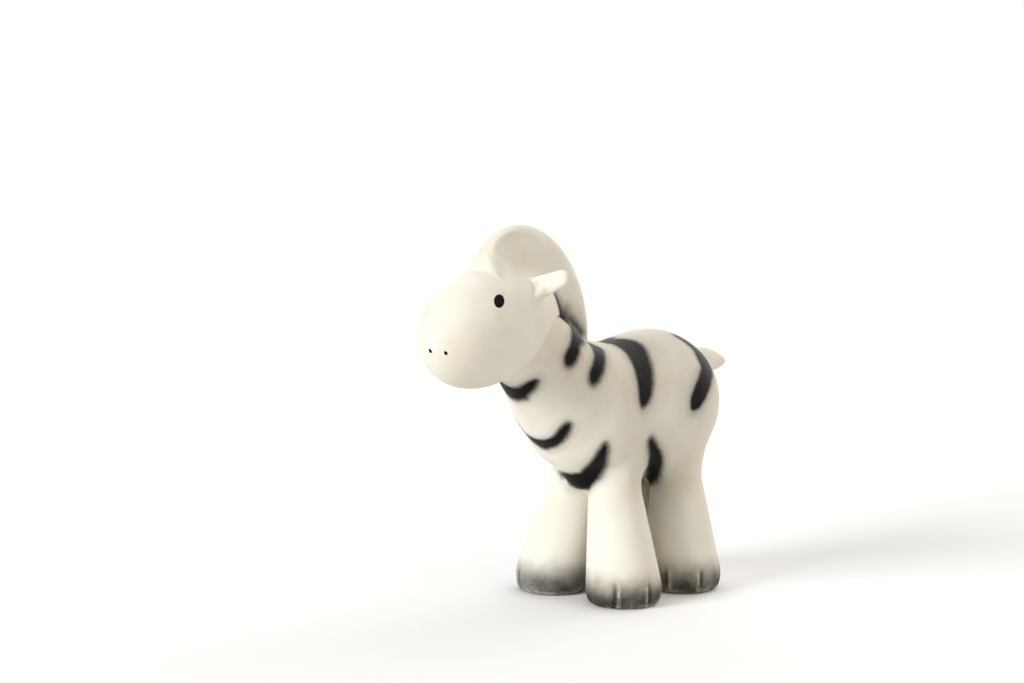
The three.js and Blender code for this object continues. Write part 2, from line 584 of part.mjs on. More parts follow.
// Rattle ball: two turned cups with a lapped rim, at rest on the belly floor.
const boreForm = grown(bodyForm, -WALL);
const rattleSpots = Array.from({ length: RATTLE_TRIES + 1 }, (_, i) => {
  const start = point(0, FORE_HIP_Y + ((HIND_HIP_Y - FORE_HIP_Y) * i) / RATTLE_TRIES, TRUNK_HEIGHT);
  return reach(boreForm, start, UP.clone().negate(), -RATTLE_RADIUS - RATTLE_REST_GAP);
});
const rattleLow = rattleSpots.reduce((low, at) => (at.z < low.z ? at : low));
const innerRadius = RATTLE_RADIUS - RATTLE_WALL;
const lapRadius = RATTLE_RADIUS - RATTLE_WALL / 2;

function arc(radius, from, to) {
  return Array.from({ length: RATTLE_ARC_STEPS + 1 }, (_, i) => {
    const angle = from + ((to - from) * i) / RATTLE_ARC_STEPS;
    return new THREE.Vector2(radius * Math.cos(angle), radius * Math.sin(angle));
  });
}

function cup(profile) {
  const geometry = new THREE.LatheGeometry([...profile, profile[0]], RATTLE_SIDES);
  geometry.rotateX(Math.PI / 2);
  return solid(geometry.translate(...rattleLow.toArray()));
}

const quarter = Math.PI / 2;
const lowerCup = cup([
  ...arc(RATTLE_RADIUS, -quarter, 0),
  new THREE.Vector2(lapRadius - RATTLE_FIT, 0),
  new THREE.Vector2(lapRadius - RATTLE_FIT, RATTLE_LIP),
  new THREE.Vector2(innerRadius, RATTLE_LIP),
  ...arc(innerRadius, 0, -quarter),
]);
const upperCup = cup([
  ...arc(innerRadius, quarter, Math.asin((RATTLE_LIP + RATTLE_FIT) / innerRadius)),
  new THREE.Vector2(lapRadius, RATTLE_LIP + RATTLE_FIT),
  new THREE.Vector2(lapRadius, RATTLE_FIT),
  ...arc(RATTLE_RADIUS, Math.asin(RATTLE_FIT / RATTLE_RADIUS), quarter),
]);

// Beads side by side on the floor of the ball.
const beadRing = (BEAD_RADIUS + BEAD_GAP / 2) / Math.sin(Math.PI / BEAD_COUNT);
const beadDrop = Math.sqrt((innerRadius - BEAD_RADIUS - BEAD_GAP) ** 2 - beadRing ** 2);
const beads = Array.from({ length: BEAD_COUNT }, (_, i) => {
  const angle = (i * 2 * Math.PI) / BEAD_COUNT;
  const at = new THREE.Vector3(beadRing * Math.cos(angle), beadRing * Math.sin(angle), -beadDrop);
  const ball = new THREE.SphereGeometry(BEAD_RADIUS, BEAD_SIDES, BEAD_RINGS);
  return solid(ball.translate(...at.add(rattleLow).toArray()));
});

// Named pieces, with the origin on the ground under the middle of the toy.
const toy = new THREE.Group();
const rubber = { color: 0xefe9da, roughness: 0.62, metalness: 0 };
const plastic = { color: 0xe6e4de, roughness: 0.4, metalness: 0 };

function addPiece(name, made, look) {
  const mesh = new THREE.Mesh(geometryOf(made), new THREE.MeshStandardMaterial(look));
  mesh.name = name;
  toy.add(mesh);
}

addPiece('body_shell', body, rubber);
addPiece('head_shell', head, rubber);
addPiece('mane', mane, rubber);
addPiece('ear_left', ear, rubber);
addPiece('ear_right', mirrored(ear), rubber);
addPiece('tail', tail, rubber);
addPiece('rattle_case_lower', lowerCup, plastic);
addPiece('rattle_case_upper', upperCup, plastic);
beads.forEach((bead, i) => addPiece(`rattle_bead_${i + 1}`, bead, plastic));

const middle = new THREE.Box3().setFromObject(toy).getCenter(new THREE.Vector3());
for (const piece of toy.children) piece.position.y = -middle.y;

export default toy;
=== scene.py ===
"""Zebra bath toy: fine rubber skins over the CAD shells, sprayed stripes and hooves, a plain studio."""

import math

import bmesh
import bpy
import numpy as np
from mathutils import Matrix, Vector
from mathutils.bvhtree import BVHTree


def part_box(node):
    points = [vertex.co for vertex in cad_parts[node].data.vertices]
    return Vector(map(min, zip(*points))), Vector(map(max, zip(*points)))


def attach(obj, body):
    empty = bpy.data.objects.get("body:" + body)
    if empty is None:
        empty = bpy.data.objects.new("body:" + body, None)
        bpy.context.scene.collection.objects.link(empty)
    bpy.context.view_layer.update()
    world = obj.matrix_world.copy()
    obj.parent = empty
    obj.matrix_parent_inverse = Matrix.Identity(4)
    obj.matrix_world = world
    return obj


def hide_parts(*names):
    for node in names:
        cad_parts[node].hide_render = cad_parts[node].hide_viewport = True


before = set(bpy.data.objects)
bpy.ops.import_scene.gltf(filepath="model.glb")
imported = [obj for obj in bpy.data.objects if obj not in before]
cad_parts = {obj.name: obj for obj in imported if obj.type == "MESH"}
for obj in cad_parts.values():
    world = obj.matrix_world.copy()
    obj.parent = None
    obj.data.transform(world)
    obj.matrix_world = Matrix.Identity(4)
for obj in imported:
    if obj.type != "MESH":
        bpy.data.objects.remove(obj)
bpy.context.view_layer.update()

MM = 0.001
X_AXIS, Y_AXIS, Z_AXIS = np.eye(3)

# The photograph: camera place in millimetres, its turn in degrees, its lens in pixels.
IMAGE_WIDTH, IMAGE_HEIGHT = 1024, 683
FOCAL_PX = 2790.0
CAMERA_AT = np.array([564.76, -662.34, 195.09])
CAMERA_AZIMUTH = math.radians(42.0)
CAMERA_ELEVATION = math.radians(7.42)
SENSOR_WIDTH = 36.0

# Rubber moulding, all in millimetres as in the CAD.
WALL = 2.6
CAD_BOND = 0.35
SEAM = 0.05  # what a filled glue line leaves open to the eye
PEG_REACH = 5.0

TRUNK_Y = 29.07  # place of the trunk's centre in the frame
TRUNK_HEIGHT = 59.0
TRUNK_HALF_WIDTH = 22.2
TRUNK_HALF_LENGTH = 26.7
TRUNK_HALF_HEIGHT = 23.9
TRUNK_PITCH = 0.08

NECK_ROOT = np.array([0.0, TRUNK_Y - 29.2, TRUNK_HEIGHT + 1.2])
NECK_ROOT_RADIUS = 20.6
NECK_MIDDLE = NECK_ROOT + [0.0, -9.7, 6.8]
NECK_MIDDLE_RADIUS = 17.0
NECK_TOP = NECK_MIDDLE + [0.0, -20.1, 18.3]
NECK_TOP_RADIUS = 12.8
NECK_SPAN_BLEND = 4.0
NECK_TRUNK_BLEND = 14.0
NECK_PLUG = 5.0
NAPE_DIP_AT = np.array([6.0, TRUNK_Y - 35.6, TRUNK_HEIGHT + 25.2])  # behind the mane, on each side
NAPE_DIP_DEPTH = 1.7
NAPE_DIP_REACH = 6.5
KEEL_AT = np.array([0.0, TRUNK_Y - 29.5, TRUNK_HEIGHT - 18.0])  # the low point of the chest
KEEL_RADIUS = 6.5
KEEL_BLEND = 5.0

HIP_X = 7.6
HIP_Z = TRUNK_HEIGHT - 21.4
HIP_RADIUS = 7.9
FOOT_X = 14.7
FOOT_Z = 5.1
FOOT_RADIUS = 12.0
FORE_HIP_Y = TRUNK_Y - 24.7
HIND_HIP_Y = TRUNK_Y + 6.2
FORE_FOOT_Y = FORE_HIP_Y - 3.3
HIND_FOOT_Y = HIND_HIP_Y - 4.2
SOLE_ROUND = 2.6
SOLE_SKIM = 0.4
LEG_BLEND_INSIDE = 4.0
LEG_BLEND_OUTSIDE = 9.0
LEG_BLEND_FROM = 5.0
LEG_BLEND_TO = 17.0
CREASE_BLEND = 1.2  # under the chest, where the legs start
CREASE_FROM = 1.0  # ahead of the fore hips
CREASE_TO = 9.0

TOE_GROOVE_RADIUS = 0.65
TOE_GROOVE_TOP = 9.5
TOE_GROOVE_EDGE = 0.5
TOE_LIP_HEIGHT = 0.4  # of the fold beside each groove, on the middle toe
TOE_LIP_OFF = 0.5
TOE_LIP_WIDTH = 0.45
TOE_LIP_RUN = 3.0  # over which it starts
TOE_SPREAD = 28.0
FORE_FOOT_HEADING = 55.0
HIND_FOOT_HEADING = 40.0

HEAD_Y = NECK_TOP[1] - 13.3
HEAD_Z = NECK_TOP[2] + 6.6
HEAD_FRONT = 28.4
HEAD_REAR = 26.2
HEAD_REAR_DROP = 4.0
HEAD_HALF_WIDTH = 15.4
HEAD_HALF_HEIGHT = 17.1
HEAD_PITCH = 0.27
HEAD_TAPER = 0.16

MANE_Y = HEAD_Y + 16.1
MANE_Z = HEAD_Z - 2.3
MANE_HALF_LENGTH = 32.0
MANE_HALF_DEPTH = 25.1
MANE_TILT = -1.16
BROW_FROM = -5.0  # ahead of the crest's centre, where its rim starts to stand fuller
BROW_FULL = 20.0
BROW_SWELL = 0.9
MANE_FOOT_DROP = 8.5  # of the crest's end below its centre, within the head and the neck
MANE_WEB_THICK = 6.6
MANE_EDGE_BLEND = 5.0
FORELOCK_AHEAD = 22.4  # from the crest's centre to its flat front
FORELOCK_FROM = 5.6  # where the crest starts to swell towards its front
FORELOCK_TOP_BLEND = 1.5
FORELOCK_EDGE_BLEND = 2.6  # at its top
FOREFOOT_EDGE_BLEND = 4.6
FORELOCK_FLARE = 2.2
FORELOCK_FLARE_TOP = 29.0
FORELOCK_FLARE_FULL = 20.4
DISH_AHEAD = 8.8  # the hollow in each side of the forelock
DISH_RISE = 23.6
DISH_HALF_LENGTH = 10.6
DISH_HALF_HEIGHT = 6.0
DISH_DEPTH = 1.5
DISH_EDGE = 0.25  # share of the hollow that its slope takes
MANE_FILLET = 5.0  # of glue and rubber, smoothed along the foot of the mane, on the head's sides
FOREFOOT_FILLET = 1.6  # and before the forelock
FOREFOOT_FROM = -1.2  # from the flat front of the forelock
FOREFOOT_TO = 0.8
MANE_FILLET_SKIM = 0.6
MANE_SINK = 0.5  # how far its foot beds into the soft skin of the head
EAR_FILLET = 1.4
EAR_FILLET_SKIM = 0.3
GLUE_SINK = 0.2  # the same for the ears and the tail
MANE_PEG_RADIUS = 1.7
CROWN_PEG_AHEAD = 8.4
NAPE_PEG_BEHIND = 18.6

EAR_BEHIND = 7.4
EAR_RISE = 10.0
EAR_AXIS = np.array([0.82, 0.35, 0.46]) / np.linalg.norm([0.82, 0.35, 0.46])
EAR_FACE = np.array([0.4, -0.86, 0.4])
EAR_ROOT = np.array([-4.0, 0.6, 0.0])  # along the ear, across it and out of its face
EAR_TIP = np.array([8.2, 0.0, 0.0])
EAR_ROOT_RADIUS = 4.3
EAR_TIP_RADIUS = 2.6
EAR_FLATNESS = 2.0
EAR_HOLLOW_AT = np.array([2.9, 1.3, EAR_ROOT_RADIUS / EAR_FLATNESS])
EAR_HOLLOW = np.array([3.6, 1.7, 1.0])
EAR_HOLLOW_BLEND = 0.6
EAR_HEEL = ((1.5, -1.2, 0.8), (-1.4, -3.8, 2.9))  # the lower corner of its foot
EAR_HEEL_RADII = (1.6, 0.7)
EAR_HEEL_BLEND = 1.0
EAR_FOLDS = (((1.2, 2.7, 0.0), (4.7, 1.5, 0.0)), ((1.0, 1.5, 0.0), (4.2, 1.0, 0.0)))  # on its face
EAR_FOLD_RADIUS = 0.3
EAR_PEG_RADIUS = 1.2

TAIL_RISE = 11.4
TAIL_LENGTH = 18.3
TAIL_HALF_HEIGHT = 4.4
TAIL_TAPER = 0.34  # of the outer half, towards the tip
TAIL_HALF_WIDTH = 3.0
TAIL_DROOP = 0.11
TAIL_ROOT_DEPTH = 6.0
TAIL_PEG_RADIUS = 1.8
TAPER_PAST = 1.2  # in half lengths, where the taper of the head or the tail stops

RATTLE_RADIUS = 8.0
RATTLE_WALL = 1.3
RATTLE_LIP = 2.0
RATTLE_FIT = 0.15
BEAD_RADIUS = 1.6
BEAD_COUNT = 3
BEAD_GATE = 1.52  # from the bead's centre to the flat that its gate leaves
BEAD_GATE_EDGE = 0.1

# Meshes: lattice steps of the fine skins, and how their points settle.
BODY_CELL = 0.85
HEAD_CELL = 0.7
MANE_CELL = 0.6
EAR_CELL = 0.3
TAIL_CELL = 0.45
BEAD_CELL = 0.22
NET_MARGIN = 2  # cells
SKIN_MARGIN = 4.0  # round a CAD node's box
SPREAD_ROUNDS = 4
SETTLE_STEPS = 3
SLOPE_STEP = 0.004
LEAST_SLOPE2 = 0.05  # keeps a step short where a form is nearly level
BISECTIONS = 40
CASE_SEGMENTS = 72
ARC_STEPS = 24
MERGE_MM = 1e-5
SHARP_ANGLE = math.radians(50.0)

# Stripes on the left side: at each station, the photograph's pixels on one edge and on the other.
# They cross the middle of the chest or the back, or end on the side, and the right side mirrors them,
# apart from those on the chest, whose right parts are seen.
STRIPES_PX = {
    "throat": [
        (519.5, 386.6, 519.5, 399.5),
        (526.4, 382.7, 527.9, 394.4),
        (531.0, 380.1, 533.3, 388.8),
        (535.1, 378.7, 536.6, 383.9),
    ],
    "throat_far": [
        (505.2, 385.0, 507.2, 394.4),
        (509.2, 386.6, 510.8, 397.8),
        (514.4, 387.8, 515.8, 399.4),
        (519.5, 387.0, 520.3, 399.6),
    ],
    "chest": [
        (543.0, 440.1, 543.0, 448.2),
        (550.9, 437.5, 550.9, 448.8),
        (557.0, 432.9, 560.1, 444.3),
        (562.3, 425.8, 566.6, 436.2),
        (566.2, 422.8, 570.0, 427.8),
    ],
    "chest_far": [
        (524.6, 432.2, 525.8, 433.8),
        (530.2, 436.8, 531.2, 440.4),
        (537.4, 440.0, 538.2, 446.2),
        (543.0, 440.2, 543.5, 448.6),
    ],
    "brisket": [
        (562.5, 473.0, 585.0, 489.5),
        (572.0, 474.0, 590.0, 490.0),
        (580.0, 473.5, 595.5, 485.0),
        (588.0, 465.5, 602.0, 471.0),
        (595.5, 457.0, 606.0, 458.0),
        (601.0, 448.5, 607.3, 449.5),
        (604.5, 444.0, 606.3, 444.5),
    ],
    "brisket_far": [
        (553.6, 468.6, 554.2, 469.8),
        (560.1, 472.2, 560.6, 476.6),
        (566.0, 473.2, 566.5, 480.0),
        (572.0, 474.0, 573.0, 483.2),
    ],
    "nape": [
        (566.8, 321.0, 571.6, 319.0),
        (569.4, 326.0, 575.2, 325.0),
        (570.6, 332.9, 578.4, 331.4),
        (570.3, 341.3, 580.7, 340.6),
        (568.5, 349.7, 580.4, 349.0),
        (564.6, 355.9, 576.9, 358.9),
        (565.4, 360.5, 572.3, 363.5),
    ],
    # Black in the crevice between the head's rear edge and the mane: paint, and painted shade of that
    # crevice.
    "crevice_paint_and_shade": [
        (555.4, 297.6, 556.4, 297.2),
        (557.3, 304.5, 559.5, 303.6),
        (559.6, 312.6, 562.8, 311.2),
        (562.3, 319.0, 565.6, 317.2),
        (566.8, 323.5, 571.2, 321.0),
    ],
    "overspray": [
        (564.8, 316.8, 566.6, 315.0),
        (570.2, 322.4, 573.0, 319.6),
        (575.2, 328.6, 578.4, 325.6),
        (579.8, 333.4, 582.4, 331.0),
    ],
    "shoulder": [
        (589.9, 345.3, 600.6, 346.9),
        (593.0, 350.5, 604.0, 353.6),
        (594.5, 358.9, 605.2, 360.5),
        (592.0, 367.4, 604.2, 367.8),
        (589.3, 374.2, 600.9, 375.4),
        (589.8, 379.6, 597.0, 380.6),
    ],
    "saddle": [
        (605.0, 342.8, 605.0, 341.4),
        (615.7, 344.6, 617.2, 339.2),
        (624.9, 351.0, 632.6, 340.2),
        (631.4, 361.4, 642.4, 348.0),
        (635.5, 373.5, 649.9, 364.3),
        (637.7, 385.7, 652.2, 379.6),
        (638.6, 395.7, 651.4, 391.8),
        (638.9, 402.2, 648.1, 399.5),
        (640.7, 405.6, 645.0, 404.1),
    ],
    "rump": [
        (676.2, 336.5, 677.1, 335.9),
        (687.8, 344.2, 689.0, 342.8),
        (695.8, 352.8, 700.9, 353.3),
        (699.8, 362.8, 707.8, 361.2),
        (700.9, 371.9, 711.7, 371.2),
        (696.8, 382.0, 711.4, 383.6),
        (692.6, 391.0, 708.0, 394.0),
        (689.8, 399.8, 702.6, 403.0),
        (690.4, 406.0, 697.0, 407.8),
    ],
    "flank": [
        (649.3, 439.6, 651.9, 439.6),
        (648.4, 443.0, 654.7, 443.0),
        (648.7, 452.0, 660.4, 452.7),
        (648.4, 462.5, 662.8, 462.5),
        (647.2, 472.2, 660.1, 473.0),
        (645.1, 481.7, 652.9, 481.7),
    ],
}
STRIPE_DEPTH = 0.2  # of the moulded bed that each stripe is sprayed into
STRIPE_BED_EDGE = 0.5  # over which the bed sinks, to each side of the stripe's edge
STRIPE_STEPS = 4  # between two stations
# Right parts that are seen, and the left parts whose mirrored tips end them.
FAR_PARTS = {"throat_far": "throat", "chest_far": "chest", "brisket_far": "brisket"}
ABOVE_LEG = ("brisket", "brisket_far", "flank")  # these stop at the crease of the fore leg
CREASE_PAINT = 0.5  # how far the paint runs into that crease
# The crevice's paint and painted shade lie on the head and the mane.
ON_HEAD = ("crevice_paint_and_shade",)
ON_MANE = ("overspray", "crevice_paint_and_shade")
OVERSPRAY_SPREAD = 2.0  # how much softer the paint ends on the mane
DUST_AND_SHADE_STRIPES = ("nape", "shoulder", "saddle", "rump", "flank")  # paint dust lies about these, and with it painted shade on the neck and body
FAR = 50.0  # where nothing is painted

# The face, by the photograph's pixels: centre, then one point on each half axis.
EYE_PX = ((499.3, 300.9), (504.5, 301.2), (499.3, 294.2))
NOSTRILS_PX = (
    ((430.3, 351.0), (431.7, 350.3), (429.1, 348.8)),
    ((445.8, 353.2), (447.4, 352.5), (444.6, 351.0)),
)
SPOT_REACH = 4.0  # of a spot through the wall, in its longer half axes

# Painted feet by height, and painted shade by the depth in a toe groove.
FOOT_TOP, FOOT_FULL = 16.0, 10.0
GROOVE_SHADE_FROM, GROOVE_SHADE_FULL = 0.4, -0.3
GROOVE_SHADE_HEIGHT = 6.0


# Forms: signed distances in millimetres, negative inside, for points in rows.
def ease(low, high, value):
    t = np.clip((value - low) / (high - low), 0.0, 1.0)
    return t * t * (3 - 2 * t)


def join(a, b, blend):
    return np.minimum(a, b) - np.maximum(blend - np.abs(a - b), 0) ** 2 / (4 * blend)


def meet(a, b, blend):
    return -join(-a, -b, blend)


def oval(x, y, z, rx, ry, rz):
    near = np.sqrt((x / rx) ** 2 + (y / ry) ** 2 + (z / rz) ** 2)
    slope = np.sqrt((x / rx**2) ** 2 + (y / ry**2) ** 2 + (z / rz**2) ** 2)
    return near * (near - 1) / np.maximum(slope, 1e-6)


def tapered_rod(p, a, ra, b, rb):
    span = np.subtract(b, a)
    start = p - a
    length2 = span @ span
    taper = ra - rb
    slant2 = length2 - taper * taper
    along = start @ span
    past = along - length2
    side2 = ((start * length2 - along[..., None] * span) ** 2).sum(-1)
    along2 = along * along * length2
    past2 = past * past * length2
    edge = np.sign(taper) * taper * taper * side2
    side = (np.sqrt(side2 * slant2 / length2) + along * taper) / length2 - ra
    near = np.sqrt(side2 + along2) / length2 - ra
    far = np.sqrt(side2 + past2) / length2 - rb
    found = np.where(np.sign(along) * slant2 * along2 < edge, near, side)
    return np.where(np.sign(past) * slant2 * past2 > edge, far, found)


def peg(p, seat, way, above, radius):
    return tapered_rod(p, seat - way * (PEG_REACH - radius), radius, seat + way * above, radius)


def folded(p):
    return np.concatenate([np.abs(p[..., :1]), p[..., 1:]], -1)


def pitched(p, y0, z0, angle):
    c, s = math.cos(angle), math.sin(angle)
    y, z = p[..., 1] - y0, p[..., 2] - z0
    return c * y + s * z, c * z - s * y


def neck_form(p):
    low = tapered_rod(p, NECK_ROOT, NECK_ROOT_RADIUS, NECK_MIDDLE, NECK_MIDDLE_RADIUS)
    high = tapered_rod(p, NECK_MIDDLE, NECK_MIDDLE_RADIUS, NECK_TOP, NECK_TOP_RADIUS)
    return join(low, high, NECK_SPAN_BLEND)


def leg_form(p, hip_y, foot_y):
    hip = np.array([HIP_X, hip_y, HIP_Z])
    foot = np.array([FOOT_X, foot_y, FOOT_Z])
    rod = tapered_rod(folded(p), hip, HIP_RADIUS, foot, FOOT_RADIUS)
    return meet(rod, -p[..., 2] - SOLE_SKIM, SOLE_ROUND)


def core_form(p):
    along, across = pitched(p, TRUNK_Y, TRUNK_HEIGHT, TRUNK_PITCH)
    trunk = oval(p[..., 0], along, across, TRUNK_HALF_WIDTH, TRUNK_HALF_LENGTH, TRUNK_HALF_HEIGHT)
    keel = np.linalg.norm(p - KEEL_AT, axis=-1) - KEEL_RADIUS
    off_dip = np.linalg.norm(folded(p) - NAPE_DIP_AT, axis=-1) / NAPE_DIP_REACH
    neck = neck_form(p) + NAPE_DIP_DEPTH * np.exp(-(off_dip**2))
    return join(join(trunk, neck, NECK_TRUNK_BLEND), keel, KEEL_BLEND)


def body_form(p):
    outside = ease(LEG_BLEND_FROM, LEG_BLEND_TO, np.abs(p[..., 0]))
    blend = LEG_BLEND_INSIDE + (LEG_BLEND_OUTSIDE - LEG_BLEND_INSIDE) * outside
    crease = ease(FORE_HIP_Y - CREASE_FROM, FORE_HIP_Y - CREASE_TO, p[..., 1])
    fore_blend = blend + (CREASE_BLEND - blend) * crease
    with_fore = join(core_form(p), leg_form(p, FORE_HIP_Y, FORE_FOOT_Y), fore_blend)
    return join(with_fore, leg_form(p, HIND_HIP_Y, HIND_FOOT_Y), blend)


def reach(form, start, way):
    """The point, from a start inside a form and along a direction, where the form ends."""
    low, high = 0.0, 1.0
    while form((start + way * high)[None])[0] < 0:
        high *= 2
    for _ in range(BISECTIONS):
        middle = (low + high) / 2
        if form((start + way * middle)[None])[0] < 0:
            low = middle
        else:
            high = middle
    return start + way * low


def groove_lines():
    lines = []
    for foot_y, heading in ((FORE_FOOT_Y, FORE_FOOT_HEADING), (HIND_FOOT_Y, HIND_FOOT_HEADING)):
        for side in (-1, 1):
            angle = math.radians(heading + side * TOE_SPREAD)
            way = np.array([math.sin(angle), -math.cos(angle), 0.0])
            inward = np.array([math.cos(angle), math.sin(angle), 0.0]) * -side
            lines.append((reach(body_form, np.array([FOOT_X, foot_y, FOOT_Z]), way), inward))
    return lines


TOE_GROOVES = groove_lines()


def groove_rod(q, face):
    low = face * [1, 1, 0] - Z_AXIS * TOE_GROOVE_RADIUS
    high = face * [1, 1, 0] + Z_AXIS * (TOE_GROOVE_TOP - TOE_GROOVE_RADIUS)
    return tapered_rod(q, low, TOE_GROOVE_RADIUS, high, TOE_GROOVE_RADIUS)


def groove_form(p):
    q = folded(p)
    return np.min([groove_rod(q, face) for face, _ in TOE_GROOVES], axis=0)


def toe_lip(p):
    """The folds beside the grooves, from none to one."""
    q = folded(p)
    found = np.zeros(p.shape[:-1])
    for face, inward in TOE_GROOVES:
        off = (groove_rod(q, face) - TOE_LIP_OFF) / TOE_LIP_WIDTH
        beside = ease(0.0, TOE_LIP_OFF, (q - face) @ inward)
        found = np.maximum(found, np.exp(-(off**2)) * beside)
    return found * ease(TOE_GROOVE_TOP, TOE_GROOVE_TOP - TOE_LIP_RUN, p[..., 2])


def head_form(p):
    along, above = pitched(p, HEAD_Y, HEAD_Z, HEAD_PITCH)
    across = above + HEAD_REAR_DROP * np.maximum(along / HEAD_REAR, 0) ** 2
    half = np.where(along < 0, HEAD_FRONT, HEAD_REAR)
    swell = 1 - HEAD_TAPER * np.clip(along / half, -TAPER_PAST, TAPER_PAST)
    return oval(p[..., 0] / swell, along, across / swell, HEAD_HALF_WIDTH, half, HEAD_HALF_HEIGHT)


def crest_form(p):
    along, across = pitched(p, MANE_Y, MANE_Z, MANE_TILT)
    rim = oval(0.0, along, across, 1.0, MANE_HALF_LENGTH, MANE_HALF_DEPTH)
    ahead, high = MANE_Y - p[..., 1], p[..., 2] - MANE_Z
    rim = rim - BROW_SWELL * ease(BROW_FROM, BROW_FULL, ahead)
    rim = meet(rim, ahead - FORELOCK_AHEAD, FORELOCK_TOP_BLEND)
    rim = np.maximum(rim, -high - MANE_FOOT_DROP)
    front = ease(FORELOCK_FROM, FORELOCK_AHEAD, ahead)
    low = ease(FORELOCK_FLARE_TOP, FORELOCK_FLARE_FULL, high)
    off_dish = np.hypot((ahead - DISH_AHEAD) / DISH_HALF_LENGTH, (high - DISH_RISE) / DISH_HALF_HEIGHT)
    fading = ease(DISH_AHEAD - DISH_HALF_LENGTH, DISH_AHEAD + DISH_HALF_LENGTH / 2, ahead)
    dish = DISH_DEPTH * fading * ease(1, 1 - DISH_EDGE, off_dish)
    front_blend = FORELOCK_EDGE_BLEND + (FOREFOOT_EDGE_BLEND - FORELOCK_EDGE_BLEND) * low
    blend = MANE_EDGE_BLEND + (front_blend - MANE_EDGE_BLEND) * front
    thick = MANE_WEB_THICK + FORELOCK_FLARE * low * front
    return meet(rim, np.abs(p[..., 0]) - thick / 2 + dish, blend)


CROWN_SEAT = reach(head_form, np.array([0.0, MANE_Y - CROWN_PEG_AHEAD, HEAD_Z]), Z_AXIS)
NAPE_SEAT = reach(body_form, np.array([0.0, MANE_Y + NAPE_PEG_BEHIND, NECK_MIDDLE[2]]), Z_AXIS)
EAR_SEAT = reach(head_form, np.array([0.0, HEAD_Y + EAR_BEHIND, HEAD_Z + EAR_RISE]), X_AXIS)
TAIL_SEAT = reach(body_form, np.array([0.0, TRUNK_Y, TRUNK_HEIGHT + TAIL_RISE]), Y_AXIS)
TAIL_AXIS = np.array([0.0, math.cos(TAIL_DROOP), -math.sin(TAIL_DROOP)])


def mane_pegs(p, clear):
    high = MANE_PEG_RADIUS * 2
    crown = peg(p, CROWN_SEAT, Z_AXIS, high, MANE_PEG_RADIUS)
    nape = peg(p, NAPE_SEAT, Z_AXIS, high, MANE_PEG_RADIUS)
    return np.minimum(crown, nape) - clear


def ear_peg(p, clear):
    return peg(folded(p), EAR_SEAT, EAR_AXIS, EAR_PEG_RADIUS, EAR_PEG_RADIUS) - clear


def tail_peg(p, clear):
    return peg(p, TAIL_SEAT, TAIL_AXIS, TAIL_PEG_RADIUS * 2, TAIL_PEG_RADIUS) - clear


def body_skin(p):
    outer = meet(body_form(p) - TOE_LIP_HEIGHT * toe_lip(p), -groove_form(p), TOE_GROOVE_EDGE)
    outer = np.maximum(outer, -p[..., 2])
    shell = np.maximum(outer, -body_form(p) - WALL)
    axis = (NECK_TOP - NECK_MIDDLE) / np.linalg.norm(NECK_TOP - NECK_MIDDLE)
    end = (p - NECK_TOP) @ axis - NECK_PLUG
    holes = np.minimum(mane_pegs(p, CAD_BOND), tail_peg(p, CAD_BOND))
    return np.maximum(np.maximum(shell, end), -holes)


def head_skin(p):
    form = head_form(p)
    shell = np.maximum(form, -form - WALL)
    holes = np.minimum(mane_pegs(p, CAD_BOND), ear_peg(p, CAD_BOND))
    return np.maximum(np.maximum(shell, -body_form(p) + SEAM), -holes)


def crest_on_head(p, skim):
    before = ease(FOREFOOT_FROM, FOREFOOT_TO, MANE_Y - p[..., 1] - FORELOCK_AHEAD)
    fillet = MANE_FILLET + (FOREFOOT_FILLET - MANE_FILLET) * before
    return join(crest_form(p), head_form(p) + skim, fillet)


def mane_skin(p):
    seat = np.minimum(head_form(p), body_form(p))
    crest = np.maximum(crest_on_head(p, MANE_FILLET_SKIM), -seat - MANE_SINK)
    return np.minimum(crest, mane_pegs(p, 0.0))


def ear_leaf(p):
    q = folded(p) - EAR_SEAT
    face = EAR_FACE - EAR_AXIS * (EAR_FACE @ EAR_AXIS)
    face = face / np.linalg.norm(face)
    local = np.stack([q @ EAR_AXIS, q @ np.cross(face, EAR_AXIS), q @ face], -1)
    flat = local * [1, 1, EAR_FLATNESS]
    leaf = tapered_rod(flat, EAR_ROOT, EAR_ROOT_RADIUS, EAR_TIP, EAR_TIP_RADIUS) / EAR_FLATNESS
    hollow = oval(*np.moveaxis(local - EAR_HOLLOW_AT, -1, 0), *EAR_HOLLOW)
    heel_high, heel_low = EAR_HEEL
    heel = tapered_rod(local, heel_high, EAR_HEEL_RADII[0], heel_low, EAR_HEEL_RADII[1])
    leaf = meet(join(leaf, heel, EAR_HEEL_BLEND), -hollow, EAR_HOLLOW_BLEND)
    for start, stop in EAR_FOLDS:
        over = np.concatenate([local[..., :2], leaf[..., None]], -1)
        fold = tapered_rod(over, start, EAR_FOLD_RADIUS, stop, EAR_FOLD_RADIUS / 2)
        leaf = np.where(local[..., 2] > 0, meet(leaf, -fold, EAR_FOLD_RADIUS), leaf)
    return leaf


def ear_skin(p):
    seat = head_form(p)
    leaf = join(ear_leaf(p), seat + EAR_FILLET_SKIM, EAR_FILLET)
    return np.minimum(np.maximum(leaf, -seat - GLUE_SINK), ear_peg(p, 0.0))


def tail_skin(p):
    along, across = pitched(p, TAIL_SEAT[1], TAIL_SEAT[2], -TAIL_DROOP)
    half = (TAIL_LENGTH + TAIL_ROOT_DEPTH) / 2
    out = along - TAIL_LENGTH + half
    swell = 1 - TAIL_TAPER * np.clip(out / half, 0, TAPER_PAST)
    leaf = oval(p[..., 0] / swell, out, across / swell, TAIL_HALF_WIDTH, half, TAIL_HALF_HEIGHT)
    return np.minimum(np.maximum(leaf, -body_form(p) - GLUE_SINK), tail_peg(p, 0.0))


